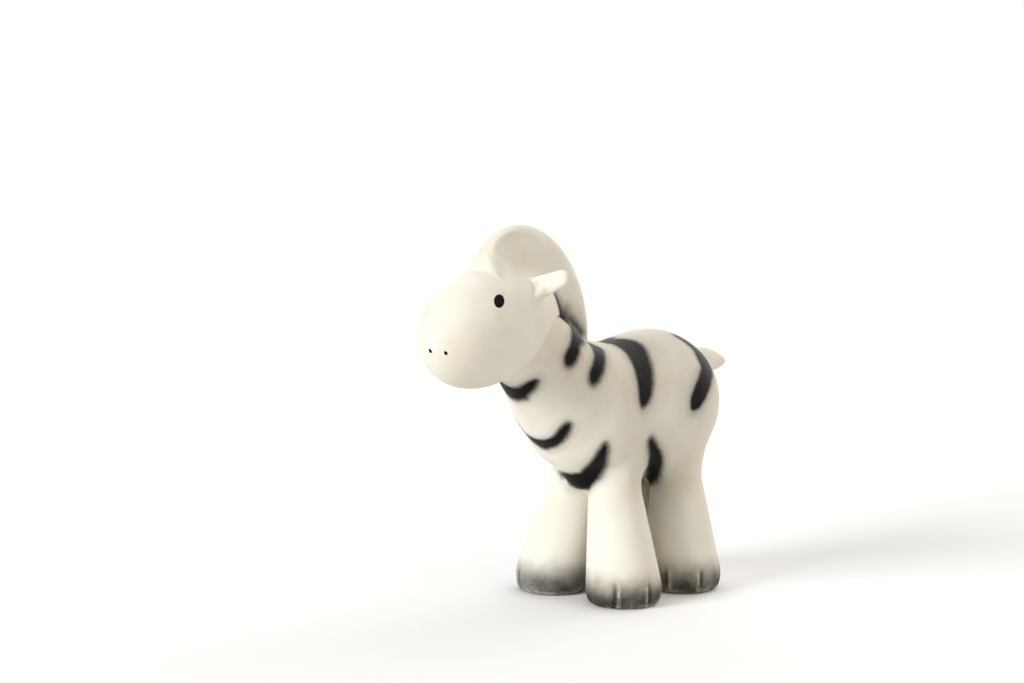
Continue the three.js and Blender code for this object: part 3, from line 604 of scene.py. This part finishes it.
# Meshes: a surface net over a lattice, then its points are spread and set on the form.
def slope_of(form, p):
    steps = [form(p + SLOPE_STEP * axis) - form(p - SLOPE_STEP * axis) for axis in np.eye(3)]
    return np.stack(steps, -1) / (2 * SLOPE_STEP)


def on_surface(form, p):
    for _ in range(SETTLE_STEPS):
        slope = slope_of(form, p)
        p = p - slope * (form(p) / np.maximum((slope**2).sum(-1), LEAST_SLOPE2))[:, None]
    return p


def net(form, low, high, cell):
    low = np.floor(low / cell - NET_MARGIN) * cell
    count = np.ceil((high - low) / cell + NET_MARGIN + 1).astype(int)
    axes = [low[k] + cell * np.arange(count[k]) for k in range(3)]
    value = form(np.stack(np.meshgrid(*axes, indexing="ij"), -1))
    cells = count - 1
    total = np.zeros((*cells, 3))
    hits = np.zeros(cells)
    crossings = []
    for axis in range(3):
        b, c = (axis + 1) % 3, (axis + 2) % 3
        first = np.take(value, range(cells[axis]), axis)
        second = np.take(value, range(1, count[axis]), axis)
        cross = (first < 0) != (second < 0)
        share = np.where(cross, first / np.where(cross, first - second, 1), 0)
        crossings.append((cross, first < 0))
        for db, dc in ((0, 0), (0, 1), (1, 0), (1, 1)):
            cut = [slice(None)] * 3
            cut[b] = slice(db, db + cells[b])
            cut[c] = slice(dc, dc + cells[c])
            hit = cross[tuple(cut)]
            total[..., axis] += share[tuple(cut)]
            total[..., b] += db * hit
            total[..., c] += dc * hit
            hits += hit
    busy = hits > 0
    number = np.full(cells, -1)
    number[busy] = np.arange(busy.sum())
    points = low + cell * (np.argwhere(busy) + total[busy] / hits[busy][:, None])
    quads = []
    for axis, (cross, inside) in enumerate(crossings):
        b, c = (axis + 1) % 3, (axis + 2) % 3
        at = np.argwhere(cross)
        corners = []
        for db, dc in ((1, 1), (0, 1), (0, 0), (1, 0)):
            beside = at.copy()
            beside[:, b] -= db
            beside[:, c] -= dc
            corners.append(number[tuple(beside.T)])
        quad = np.stack(corners, 1)
        back = ~inside[tuple(at.T)]
        quad[back] = quad[back][:, ::-1]
        quads.append(quad)
    return points, np.concatenate(quads)


def spread(form, points, quads):
    one, two = quads.ravel(), np.roll(quads, -1, 1).ravel()
    ends, others = np.concatenate([one, two]), np.concatenate([two, one])
    count = np.bincount(ends, minlength=len(points))[:, None]
    for _ in range(SPREAD_ROUNDS):
        sums = [np.bincount(ends, points[others, k], len(points)) for k in range(3)]
        points = on_surface(form, np.stack(sums, -1) / count)
    return points


def box_mm(node):
    return [np.array(corner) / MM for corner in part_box(node)]


def skin(form, node, cell):
    low, high = box_mm(node)
    points, quads = net(form, low - SKIN_MARGIN, high + SKIN_MARGIN, cell)
    return spread(form, points, quads), quads


# Rays of the photograph's pixels.
CAMERA_RIGHT = np.array([math.cos(CAMERA_AZIMUTH), math.sin(CAMERA_AZIMUTH), 0.0])
CAMERA_BACK = np.array([
    math.sin(CAMERA_AZIMUTH) * math.cos(CAMERA_ELEVATION),
    -math.cos(CAMERA_AZIMUTH) * math.cos(CAMERA_ELEVATION),
    math.sin(CAMERA_ELEVATION),
])
CAMERA_UP = np.cross(CAMERA_BACK, CAMERA_RIGHT)


def cast(tree, px, py):
    """Where the ray of a pixel meets a mesh, or None."""
    across = (px - IMAGE_WIDTH / 2) / FOCAL_PX
    down = (py - IMAGE_HEIGHT / 2) / FOCAL_PX
    way = CAMERA_RIGHT * across - CAMERA_UP * down - CAMERA_BACK
    place = tree.ray_cast(Vector(CAMERA_AT), Vector(way).normalized())[0]
    return None if place is None else np.array(place)


def smoothed(stations):
    """A smooth run through stations of place and half width."""
    rows = np.vstack([2 * stations[0] - stations[1], stations, 2 * stations[-1] - stations[-2]])
    run = []
    for a, b, c, d in zip(rows, rows[1:], rows[2:], rows[3:]):
        for t in np.arange(STRIPE_STEPS) / STRIPE_STEPS:
            turn = (2 * a - 5 * b + 4 * c - d) * t + (3 * b - a - 3 * c + d) * t**2
            run.append(b + (c - a + turn) * t / 2)
    return [*run, rows[-2]]


def on_toy(tree, stations):
    """The places and half widths of a stripe's stations."""
    edges = [(cast(tree, ax, ay), cast(tree, bx, by)) for ax, ay, bx, by in stations]
    edges = np.array([(a, b) for a, b in edges if a is not None and b is not None])
    middles = edges.mean(1)
    ways = np.gradient(middles, axis=0)
    ways /= np.linalg.norm(ways, axis=1)[:, None]
    across = edges[:, 1] - edges[:, 0]
    across = across - ways * (across * ways).sum(1)[:, None]
    return np.column_stack([middles, np.linalg.norm(across, axis=1) / 2])


def stripe_chains(tree):
    rows = {name: on_toy(tree, stations) for name, stations in STRIPES_PX.items()}
    for far, near in FAR_PARTS.items():
        tip = rows[near][-1] * [-1, 1, 1, 1]
        rows[far] = np.vstack([tip, rows[far]])
    return {name: smoothed(stations) for name, stations in rows.items()}


def stripe_distance(p, chains):
    one_sided = {*FAR_PARTS, *FAR_PARTS.values()}
    found = np.full(len(p), FAR)
    off_leg = core_form(p) - leg_form(p, FORE_HIP_Y, FORE_FOOT_Y) - CREASE_PAINT
    for name, chain in chains.items():
        stripe = np.full(len(p), FAR)
        q = p if name in one_sided else folded(p)
        for a, b in zip(chain, chain[1:]):
            stripe = np.minimum(stripe, tapered_rod(q, a[:3], a[3], b[:3], b[3]))
        found = np.minimum(found, np.maximum(stripe, off_leg) if name in ABOVE_LEG else stripe)
    return found


def spot_distance(p, spot, mirrored=False):
    """Distance outside an oval that lies on the surface, from its centre and a point on each half axis."""
    centre, one, two = spot
    q = folded(p) if mirrored else p
    u, v = one - centre, two - centre
    normal = np.cross(u, v) / np.linalg.norm(np.cross(u, v))
    a, b = np.linalg.norm(u), np.linalg.norm(v)
    share = (q - centre) @ np.linalg.inv([u, v, normal])
    flat = np.hypot(share[:, 0], share[:, 1])
    return np.maximum((flat - 1) * min(a, b), np.abs(share[:, 2]) - SPOT_REACH * max(a, b))


# Pieces
def blended_normals(points):
    """Normals of the head and the mane as one smooth form."""
    slope = slope_of(lambda p: crest_on_head(p, 0.0), points)
    slope = slope / np.linalg.norm(slope, axis=1)[:, None]
    return np.where((head_form(points) < -WALL / 2)[:, None], -slope, slope)


def add_piece(name, points, faces, material, body, slot, nodes, normals=None, **values):
    mesh = bpy.data.meshes.new(name)
    mesh.from_pydata((points * MM).tolist(), [], [list(map(int, face)) for face in faces])
    mesh.shade_smooth()
    if normals is None:
        mesh.set_sharp_from_angle(angle=SHARP_ANGLE)
    else:
        mesh.normals_split_custom_set_from_vertices(normals.tolist())
    for key, value in values.items():
        mesh.attributes.new(key, "FLOAT", "POINT").data.foreach_set("value", value.astype(np.float32))
    mesh.materials.append(material)
    made = bpy.data.objects.new(name, mesh)
    bpy.context.collection.objects.link(made)
    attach(made, body)
    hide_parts(*nodes)


def turned(profile, segments, centre):
    """A closed profile of (radius, height) turned about the vertical through a centre."""
    rings = [math.tau * i / segments for i in range(segments)]
    made = bmesh.new()
    rows = []
    for radius, height in profile:
        rows.append([made.verts.new((radius * math.cos(t), radius * math.sin(t), height)) for t in rings])
    for i, row in enumerate(rows):
        after = rows[(i + 1) % len(rows)]
        for k in range(segments):
            n = (k + 1) % segments
            made.faces.new((row[k], row[n], after[n], after[k]))
    bmesh.ops.remove_doubles(made, verts=made.verts[:], dist=MERGE_MM)
    bmesh.ops.dissolve_degenerate(made, edges=made.edges[:], dist=MERGE_MM)
    bmesh.ops.recalc_face_normals(made, faces=made.faces[:])
    made.verts.index_update()
    points = np.array([v.co[:] for v in made.verts]) + centre
    faces = [[v.index for v in f.verts] for f in made.faces]
    made.free()
    return points, faces


# Materials
EYE_GAMMA = 2.2


class Look:
    """A node material, built up one node at a time."""

    def __init__(self, made, shader="Principled BSDF"):
        made.use_nodes = True
        self.material = made
        self.tree = made.node_tree
        self.shader = self.tree.nodes[shader]

    def put(self, kind, output=0, inputs=None, **settings):
        made = self.tree.nodes.new(kind)
        for key, value in settings.items():
            setattr(made, key, value)
        for key, value in (inputs or {}).items():
            self.feed(made.inputs[key], value)
        return made.outputs[output]

    def feed(self, socket, value):
        if isinstance(value, bpy.types.NodeSocket):
            self.tree.links.new(value, socket)
        else:
            socket.default_value = value

    def math(self, operation, *values, clamp=False):
        return self.put("ShaderNodeMath", 0, dict(enumerate(values)), operation=operation, use_clamp=clamp)

    def times(self, one, two):
        return self.math("MULTIPLY", one, two)

    def span(self, share, low, high):
        """A share of 0 to 1, set between two values."""
        return self.math("MULTIPLY_ADD", share, high - low, low)

    def swing(self, share, width):
        """A share of 0 to 1, set about zero."""
        return self.span(share, -width / 2, width / 2)

    def fade(self, value, none, full):
        """A smooth share, from the value where there is none to the value where it is full."""
        inputs = {"Value": value, "From Min": none, "From Max": full, "To Min": 0.0, "To Max": 1.0}
        return self.put("ShaderNodeMapRange", 0, inputs, interpolation_type="SMOOTHSTEP")

    def mix(self, share, one, two):
        inputs = {0: share, 6: one, 7: two}
        return self.put("ShaderNodeMix", 2, inputs, data_type="RGBA")

    def noise(self, scale, detail=2.0, roughness=0.5):
        inputs = {"Vector": self.place, "Scale": scale, "Detail": detail, "Roughness": roughness}
        return self.put("ShaderNodeTexNoise", 0, inputs)

    def covered(self, dark):
        """The share of paint that looks this dark to the eye."""
        clear = self.math("SUBTRACT", 1.0, dark, clamp=True)
        return self.math("SUBTRACT", 1.0, self.math("POWER", clear, EYE_GAMMA))

    @property
    def seen(self):
        """One for the rays that show a backdrop, none for the rays that it lights by."""
        path = self.tree.nodes.new("ShaderNodeLightPath").outputs
        mirrored = self.math("MAXIMUM", path["Is Glossy Ray"], path["Is Transmission Ray"])
        return self.math("MAXIMUM", path["Is Camera Ray"], mirrored)

    @property
    def place(self):
        return self.put("ShaderNodeTexCoord", 3)

    def value(self, name):
        return self.put("ShaderNodeAttribute", 2, attribute_name=name)

    def bump(self, height, distance, strength=1.0, normal=None):
        inputs = {"Height": height, "Distance": distance, "Strength": strength}
        if normal is not None:
            inputs["Normal"] = normal
        return self.put("ShaderNodeBump", 0, inputs)


def shade(red, green, blue):
    """An sRGB colour of 0 to 255 as linear RGBA."""
    parts = [v / 255 for v in (red, green, blue)]
    return [v / 12.92 if v <= 0.04045 else ((v + 0.055) / 1.055) ** 2.4 for v in parts] + [1.0]


RUBBER_PALE = shade(240, 237, 226)
RUBBER_WARM = shade(235, 229, 214)
RUBBER_STAIN = shade(226, 205, 172)
STRIPE_BLACK = shade(7, 6, 6)
STRIPE_GREY = shade(17, 17, 18)
HOOF_GREY = shade(46, 42, 38)
HOOF_DARK = shade(30, 28, 26)
# paint dust, which also stands as painted shade on the neck and body
DUST_AND_SHADE_BROWN = shade(126, 112, 94)
WORN_RIM = shade(205, 194, 178)
EYE_BLACK = shade(12, 11, 10)
CASE_PALE, CASE_WARM = shade(232, 230, 224), shade(220, 217, 208)
BEAD_PALE, BEAD_WARM = shade(214, 208, 196), shade(200, 192, 178)


# Noise scales, per metre.
CLOUD_SCALE = 70.0
FINE_SCALE = 900.0
GRAIN_SCALE = 2600.0
SPOT_SCALE = 210.0
STAIN_SCALE = 38.0
DUST_AND_SHADE_SCALE = 110.0
SPRAY_SCALE = 80.0
PATCH_SCALE = 75.0
HOOF_SCALE = 150.0
SCUFF_SCALE = 430.0
WEAR_SCALE = 90.0
EDGE_SCALE = 420.0
SOFTNESS_SCALE = 48.0
SPECK_SCALE = 1500.0
WAVE_SCALE = 140.0

# Noise levels where a mark starts and where it is full.
CLOUD_LEVELS = (0.35, 0.72)
SPOT_LEVELS = (0.70, 0.80)
STAIN_LEVELS = (0.52, 0.74)
PATCH_LEVELS = (0.36, 0.64)
HOOF_LEVELS = (0.4, 0.7)
SPECK_LEVELS = (0.54, 0.68)
BLACK_LEVELS = (0.4, 0.7)

# Shares of each mark that show, or the least and the most.
SPOT_SHARE = 0.35
STAIN_SHARE = 0.22
DUST_AND_SHADE_SHARES = (0.1, 0.3)
PATCH_SHARES = (0.49, 0.81)
SPRAY_SHARES = (0.8, 1.2)
LIP_WEAR_AND_HIGHLIGHT_SHARES = (1.0, 0.25)
WORN_SHARE = 0.6
GROOVE_SHADE_SHARE = 0.85
SPECK_SHARE = 0.2
HAZE_SHARE = 0.14
PAINT_SHARE = 0.995

# Millimetres from a stripe, or above the ground, where paint starts and where it is full.
DUST_AND_SHADE_REACH = (20.0, 3.0)
DUST_AND_SHADE_WANDER = 8.0
SPRAY_HEIGHTS = (13.0, 1.5)
SPRAY_WANDER = 9.0
WORN_HEIGHTS = (2.2, 0.2)
SCUFF_WANDER = 7.0
WEAR_HEIGHTS = (-2.0, 3.0)
EDGE_WANDER = 0.6
GRAIN_WANDER = 0.7
EDGE_START = 0.9  # inside a stripe's edge
EDGE_SOFTNESS = (0.5, 4.9)
EDGE_POWER = 1.5
THIN_REACH = (-2.4, -0.4)
HAZE_REACH = (4.5, 0.0)
DAB_EDGE = (0.08, -0.08)

# The rubber's finish.
DULLNESS = (0.50, 0.66)
PAINT_GLOSS = 0.10
WAVE_BUMP = (0.0009, 0.25)  # height in metres, strength
GRAIN_BUMP = (0.00012, 0.35)
RUBBER_SPECULAR = 0.05
RUBBER_SCATTER = 0.08
RUBBER_SCATTER_RADII = (0.0022, 0.0015, 0.0009)


def rubber_look():
    look = Look(bpy.data.materials.new("natural_rubber_painted"))
    cloudy = look.noise(CLOUD_SCALE, detail=3.0)
    fine = look.noise(FINE_SCALE, detail=3.0, roughness=0.6)
    grain = look.noise(GRAIN_SCALE, roughness=0.6)
    rubber = look.mix(look.fade(cloudy, *CLOUD_LEVELS), RUBBER_PALE, RUBBER_WARM)
    spots = look.fade(look.noise(SPOT_SCALE), *SPOT_LEVELS)
    rubber = look.mix(look.times(spots, SPOT_SHARE), rubber, RUBBER_STAIN)
    stain = look.fade(look.noise(STAIN_SCALE), *STAIN_LEVELS)
    rubber = look.mix(look.times(stain, STAIN_SHARE), rubber, RUBBER_STAIN)
    # Paint dust about the stripes, made strong enough to stand also as painted shade on the neck, shoulder
    # and belly.
    wander = look.times(look.noise(DUST_AND_SHADE_SCALE, detail=3.0), DUST_AND_SHADE_WANDER)
    dust_and_shade = look.fade(look.math("ADD", look.value("dust_mm"), wander), *DUST_AND_SHADE_REACH)
    rubber = look.mix(look.times(dust_and_shade, look.span(fine, *DUST_AND_SHADE_SHARES)), rubber, DUST_AND_SHADE_BROWN)

    # Hooves: sprayed from below, thin at the top, worn pale along the rim.
    height = look.value("height_mm")
    uneven = look.swing(look.noise(SPRAY_SCALE), SPRAY_WANDER)
    spray = look.fade(look.math("ADD", height, uneven), *SPRAY_HEIGHTS)
    patchy = look.fade(look.noise(PATCH_SCALE), *PATCH_LEVELS)
    spray = look.times(spray, look.span(patchy, *PATCH_SHARES))
    spray = look.times(spray, look.span(fine, *SPRAY_SHARES))
    # Thinner paint on the folds beside the toe grooves: worn paint, and a painted highlight on each fold.
    spray = look.times(spray, look.span(look.value("lip"), *LIP_WEAR_AND_HIGHLIGHT_SHARES))
    hoof = look.mix(look.fade(look.noise(HOOF_SCALE), *HOOF_LEVELS), HOOF_GREY, HOOF_DARK)
    colour = look.mix(look.covered(spray), rubber, hoof)
    scuffed = look.swing(look.noise(SCUFF_SCALE, detail=4.0, roughness=0.65), SCUFF_WANDER)
    scuffed = look.math("ADD", scuffed, look.span(look.noise(WEAR_SCALE), *WEAR_HEIGHTS))
    worn = look.fade(look.math("ADD", height, scuffed), *WORN_HEIGHTS)
    worn = look.times(worn, look.value("foot"))
    colour = look.mix(look.times(worn, WORN_SHARE), colour, WORN_RIM)
    # Painted shade in the toe grooves.
    colour = look.mix(look.times(look.value("groove_shade"), GROOVE_SHADE_SHARE), colour, HOOF_DARK)

    # Stripes: sprayed, dense in the middle, broken and dusty at the edge.
    stripe = look.value("stripe_mm")
    rough = look.swing(look.noise(EDGE_SCALE, detail=3.0, roughness=0.6), EDGE_WANDER)
    dusty = look.swing(grain, GRAIN_WANDER)
    edge = look.math("ADD", look.math("ADD", stripe, rough), dusty)
    soft = look.span(look.noise(SOFTNESS_SCALE, detail=1.0), *EDGE_SOFTNESS)
    off = look.math("DIVIDE", look.math("ADD", edge, EDGE_START), soft)
    dense = look.math("POWER", look.math("SUBTRACT", 1.0, off, clamp=True), EDGE_POWER)
    specks = look.fade(look.noise(SPECK_SCALE, detail=1.0), *SPECK_LEVELS)
    thin = look.times(look.fade(stripe, *THIN_REACH), SPECK_SHARE)
    dense = look.times(dense, look.math("SUBTRACT", 1.0, look.times(specks, thin)))
    haze = look.fade(look.math("ADD", edge, dusty), *HAZE_REACH)
    haze = look.times(haze, look.times(haze, HAZE_SHARE))
    paint = look.covered(look.math("MAXIMUM", dense, haze))
    black = look.mix(look.fade(cloudy, *BLACK_LEVELS), STRIPE_BLACK, STRIPE_GREY)
    colour = look.mix(look.times(paint, PAINT_SHARE), colour, black)

    # The face is dabbed on by brush.
    dab = look.fade(look.value("face_mm"), *DAB_EDGE)
    colour = look.mix(dab, colour, EYE_BLACK)

    painted = look.math("MAXIMUM", paint, dab)
    dull = look.math("SUBTRACT", look.span(cloudy, *DULLNESS), look.times(painted, PAINT_GLOSS))
    wavy = look.bump(look.noise(WAVE_SCALE), *WAVE_BUMP)
    look.feed(look.shader.inputs["Base Color"], colour)
    look.feed(look.shader.inputs["Roughness"], dull)
    look.feed(look.shader.inputs["Normal"], look.bump(grain, *GRAIN_BUMP, wavy))
    look.feed(look.shader.inputs["Specular IOR Level"], RUBBER_SPECULAR)
    look.feed(look.shader.inputs["Subsurface Weight"], RUBBER_SCATTER)
    look.feed(look.shader.inputs["Subsurface Radius"], RUBBER_SCATTER_RADII)
    look.feed(look.shader.inputs["Subsurface Scale"], 1.0)
    return look.material


PLASTIC_SCALE = 180.0
PLASTIC_LEVELS = (0.35, 0.7)
POLISH_SCALE = 700.0
POLISH_SPAN = 0.14
PLASTIC_GRAIN_SCALE = 3200.0
PLASTIC_BUMP = (0.00008, 0.4)
CASE_DULLNESS = 0.38
BEAD_DULLNESS = 0.16


def plastic_look(name, colour, tint, dull):
    look = Look(bpy.data.materials.new(name))
    share = look.fade(look.noise(PLASTIC_SCALE, detail=3.0), *PLASTIC_LEVELS)
    look.feed(look.shader.inputs["Base Color"], look.mix(share, colour, tint))
    rough = look.span(look.noise(POLISH_SCALE), dull, dull + POLISH_SPAN)
    look.feed(look.shader.inputs["Roughness"], rough)
    look.feed(look.shader.inputs["Normal"], look.bump(look.noise(PLASTIC_GRAIN_SCALE), *PLASTIC_BUMP))
    return look.material


RUBBER = rubber_look()
CASE = plastic_look("rattle_case_plastic", CASE_PALE, CASE_WARM, CASE_DULLNESS)
BEAD = plastic_look("rattle_bead_plastic", BEAD_PALE, BEAD_WARM, BEAD_DULLNESS)


# Rubber pieces
def foot_values(points):
    z = points[:, 2]
    groove_shade = ease(GROOVE_SHADE_FROM, GROOVE_SHADE_FULL, groove_form(points))
    groove_shade = groove_shade * ease(TOE_GROOVE_TOP, GROOVE_SHADE_HEIGHT, z)
    return {"height_mm": z, "foot": ease(FOOT_TOP, FOOT_FULL, z), "groove_shade": groove_shade, "lip": toe_lip(points)}


def add_rubber(name, node, points, quads, normals=None, **values):
    """A rubber piece, bare apart from what the values paint."""
    none, far = np.zeros(len(points)), np.full(len(points), FAR)
    bare = {"height_mm": far, "foot": none, "groove_shade": none, "lip": none}
    bare |= {"face_mm": far, "stripe_mm": far, "dust_mm": far}
    add_piece(name, points, quads, RUBBER, "toy", "rubber", [node], normals, **bare | values)


def tree_of(points, quads):
    return BVHTree.FromPolygons([Vector(p) for p in points], quads.tolist())


def chosen(names):
    return {name: CHAINS[name] for name in names}


body_points, body_quads = skin(body_skin, "body_shell", BODY_CELL)
head_points, head_quads = skin(head_skin, "head_shell", HEAD_CELL)
mane_points, mane_quads = skin(mane_skin, "mane", MANE_CELL)
head_start, mane_start = len(body_points), len(body_points) + len(head_points)
toy_points = np.concatenate([body_points, head_points, mane_points])
toy_quads = np.concatenate([body_quads, head_quads + head_start, mane_quads + mane_start])
CHAINS = stripe_chains(tree_of(toy_points, toy_quads))

outside = ease(-WALL / 2, -WALL / 4, body_form(body_points))
stripe = stripe_distance(body_points, CHAINS)
slope = slope_of(body_form, body_points)
sunk = STRIPE_DEPTH * ease(STRIPE_BED_EDGE, -STRIPE_BED_EDGE, stripe) * outside
body_points = body_points - slope / np.linalg.norm(slope, axis=1)[:, None] * sunk[:, None]
body_paint = {"stripe_mm": stripe + FAR * (1 - outside)}
body_paint |= {"dust_mm": stripe_distance(body_points, chosen(DUST_AND_SHADE_STRIPES))}
add_rubber("zebra_body", "body_shell", body_points, body_quads, **foot_values(body_points) | body_paint)

head_tree = tree_of(head_points, head_quads)
eye = [cast(head_tree, *at) for at in EYE_PX]
face = spot_distance(head_points, eye, mirrored=True)
for spot in NOSTRILS_PX:
    face = np.minimum(face, spot_distance(head_points, [cast(head_tree, *at) for at in spot]))
head_paint = {"face_mm": face, "stripe_mm": stripe_distance(head_points, chosen(ON_HEAD))}
add_rubber("zebra_head", "head_shell", head_points, head_quads, blended_normals(head_points), **head_paint)

mane_paint = {"stripe_mm": stripe_distance(mane_points, chosen(ON_MANE)) / OVERSPRAY_SPREAD}
add_rubber("zebra_mane", "mane", mane_points, mane_quads, blended_normals(mane_points), **mane_paint)

for side in ("left", "right"):
    add_rubber(f"zebra_ear_{side}", f"ear_{side}", *skin(ear_skin, f"ear_{side}", EAR_CELL))

add_rubber("zebra_tail", "tail", *skin(tail_skin, "tail", TAIL_CELL))


# Rattle ball and beads
def arc(radius, start, stop):
    angles = np.linspace(start, stop, ARC_STEPS + 1)
    return [(radius * math.cos(t), radius * math.sin(t)) for t in angles]


rattle_low, rattle_high = box_mm("rattle_case_lower")
rattle_centre = np.array([*(rattle_low + rattle_high)[:2] / 2, rattle_low[2] + RATTLE_RADIUS])
inner = RATTLE_RADIUS - RATTLE_WALL
lap = RATTLE_RADIUS - RATTLE_WALL / 2
quarter = math.pi / 2
lower_profile = [
    *arc(RATTLE_RADIUS, -quarter, 0.0),
    (lap - RATTLE_FIT, 0.0),
    (lap - RATTLE_FIT, RATTLE_LIP),
    (inner, RATTLE_LIP),
    *arc(inner, 0.0, -quarter),
]
upper_profile = [
    *arc(inner, quarter, math.asin((RATTLE_LIP + RATTLE_FIT) / inner)),
    (lap, RATTLE_LIP + RATTLE_FIT),
    (lap, RATTLE_FIT),
    *arc(RATTLE_RADIUS, math.asin(RATTLE_FIT / RATTLE_RADIUS), quarter),
]
for name, profile in (("lower", lower_profile), ("upper", upper_profile)):
    cup_points, cup_faces = turned(profile, CASE_SEGMENTS, rattle_centre)
    node = f"rattle_case_{name}"
    add_piece(f"case_{name}", cup_points, cup_faces, CASE, "rattle", "rattle_case", [node])


def bead_form(centre):
    def form(p):
        off = p - centre
        return meet(np.linalg.norm(off, axis=-1) - BEAD_RADIUS, off[..., 2] - BEAD_GATE, BEAD_GATE_EDGE)

    return form


for i in range(1, BEAD_COUNT + 1):
    node = f"rattle_bead_{i}"
    bead_low, bead_high = box_mm(node)
    bead_points, bead_quads = skin(bead_form((bead_low + bead_high) / 2), node, BEAD_CELL)
    add_piece(f"bead_{i}", bead_points, bead_quads, BEAD, f"bead_{i}", "rattle_bead", [node])


# Studio: a white floor that keeps the shadow, a key from the left, a broad fill from above on the right,
# a rim from behind and a little of the room's light.
FLOOR_HALF = 4.0
FLOOR_WHITE = (1.0, 1.0, 1.0, 1.0)  # as it is seen
FLOOR_BOUNCE = (0.77, 0.76, 0.745, 1.0)  # as it lights the toy from below
FLOOR_LIFT = 0.03  # of glow, as it is seen
FLOOR_LIFT_TINT = (0.5, 0.7, 1.0, 1.0)  # against the fill's warmth
KEY_POWER = 2.75
KEY_TINT = (0.97, 0.985, 1.0)
KEY_SPREAD = math.radians(30.0)
KEY_FROM = CAMERA_RIGHT * -0.82 + CAMERA_BACK * 0.56 + Z_AXIS * 0.26
FILL_POWER = 1.85
FILL_TINT = (1.0, 0.94, 0.85)
FILL_SPREAD = math.radians(120.0)
FILL_FROM = Z_AXIS * 0.75 + CAMERA_RIGHT * 0.72 + CAMERA_BACK * 0.25
RIM_POWER = 1.7
RIM_TINT = (0.97, 0.98, 1.0)
RIM_SPREAD = math.radians(90.0)
RIM_FROM = Z_AXIS * 0.65 + CAMERA_BACK * -0.8 + CAMERA_RIGHT * 0.15
ROOM_LIGHT = 0.02
ROOM_WHITE = (1.0, 1.0, 1.0, 1.0)
CLIP_START = 0.01
TARGET = Vector((0.0, 0.0, 0.055))


def add_floor():
    made = bmesh.new()
    corners = [(-1, -1), (1, -1), (1, 1), (-1, 1)]
    made.faces.new([made.verts.new((x * FLOOR_HALF, y * FLOOR_HALF, 0.0)) for x, y in corners])
    mesh = bpy.data.meshes.new("studio_floor")
    made.to_mesh(mesh)
    made.free()
    look = Look(bpy.data.materials.new("studio_floor"))
    look.tree.nodes.remove(look.shader)
    colour = look.mix(look.seen, FLOOR_BOUNCE, FLOOR_WHITE)
    diffuse = look.put("ShaderNodeBsdfDiffuse", 0, {"Color": colour})
    glow = {"Color": FLOOR_LIFT_TINT, "Strength": look.times(look.seen, FLOOR_LIFT)}
    lift = look.put("ShaderNodeEmission", 0, glow)
    both = look.put("ShaderNodeAddShader", 0, {0: diffuse, 1: lift})
    look.tree.links.new(both, look.tree.nodes["Material Output"].inputs["Surface"])
    mesh.materials.append(look.material)
    floor = bpy.data.objects.new("studio_floor", mesh)
    bpy.context.collection.objects.link(floor)


def add_lamp(name, power, tint, spread, come_from):
    lamp = bpy.data.lights.new(name, "SUN")
    lamp.energy = power
    lamp.color = tint
    lamp.angle = spread
    made = bpy.data.objects.new(name, lamp)
    made.location = TARGET + Vector(come_from)
    made.rotation_euler = Vector(-come_from).to_track_quat("-Z", "Y").to_euler()
    bpy.context.collection.objects.link(made)


def add_room():
    look = Look(bpy.data.worlds.new("room"), "Background")
    level = {"Value": look.seen, "To Min": ROOM_LIGHT, "To Max": 1.0}
    look.feed(look.shader.inputs["Strength"], look.put("ShaderNodeMapRange", 0, level))
    look.feed(look.shader.inputs["Color"], ROOM_WHITE)
    bpy.context.scene.world = look.material


def add_camera():
    lens = bpy.data.cameras.new("photo_camera")
    lens.sensor_width = SENSOR_WIDTH
    lens.lens = FOCAL_PX / IMAGE_WIDTH * SENSOR_WIDTH
    lens.clip_start = CLIP_START
    made = bpy.data.objects.new("photo_camera", lens)
    turn = Matrix(np.stack([CAMERA_RIGHT, CAMERA_UP, CAMERA_BACK], 1).tolist()).to_4x4()
    made.matrix_world = Matrix.Translation(CAMERA_AT * MM) @ turn
    bpy.context.collection.objects.link(made)
    bpy.context.scene.camera = made


add_floor()
add_lamp("key", KEY_POWER, KEY_TINT, KEY_SPREAD, KEY_FROM)
add_lamp("fill", FILL_POWER, FILL_TINT, FILL_SPREAD, FILL_FROM)
add_lamp("rim", RIM_POWER, RIM_TINT, RIM_SPREAD, RIM_FROM)
add_room()
add_camera()
bpy.context.scene.view_settings.view_transform = "Standard"
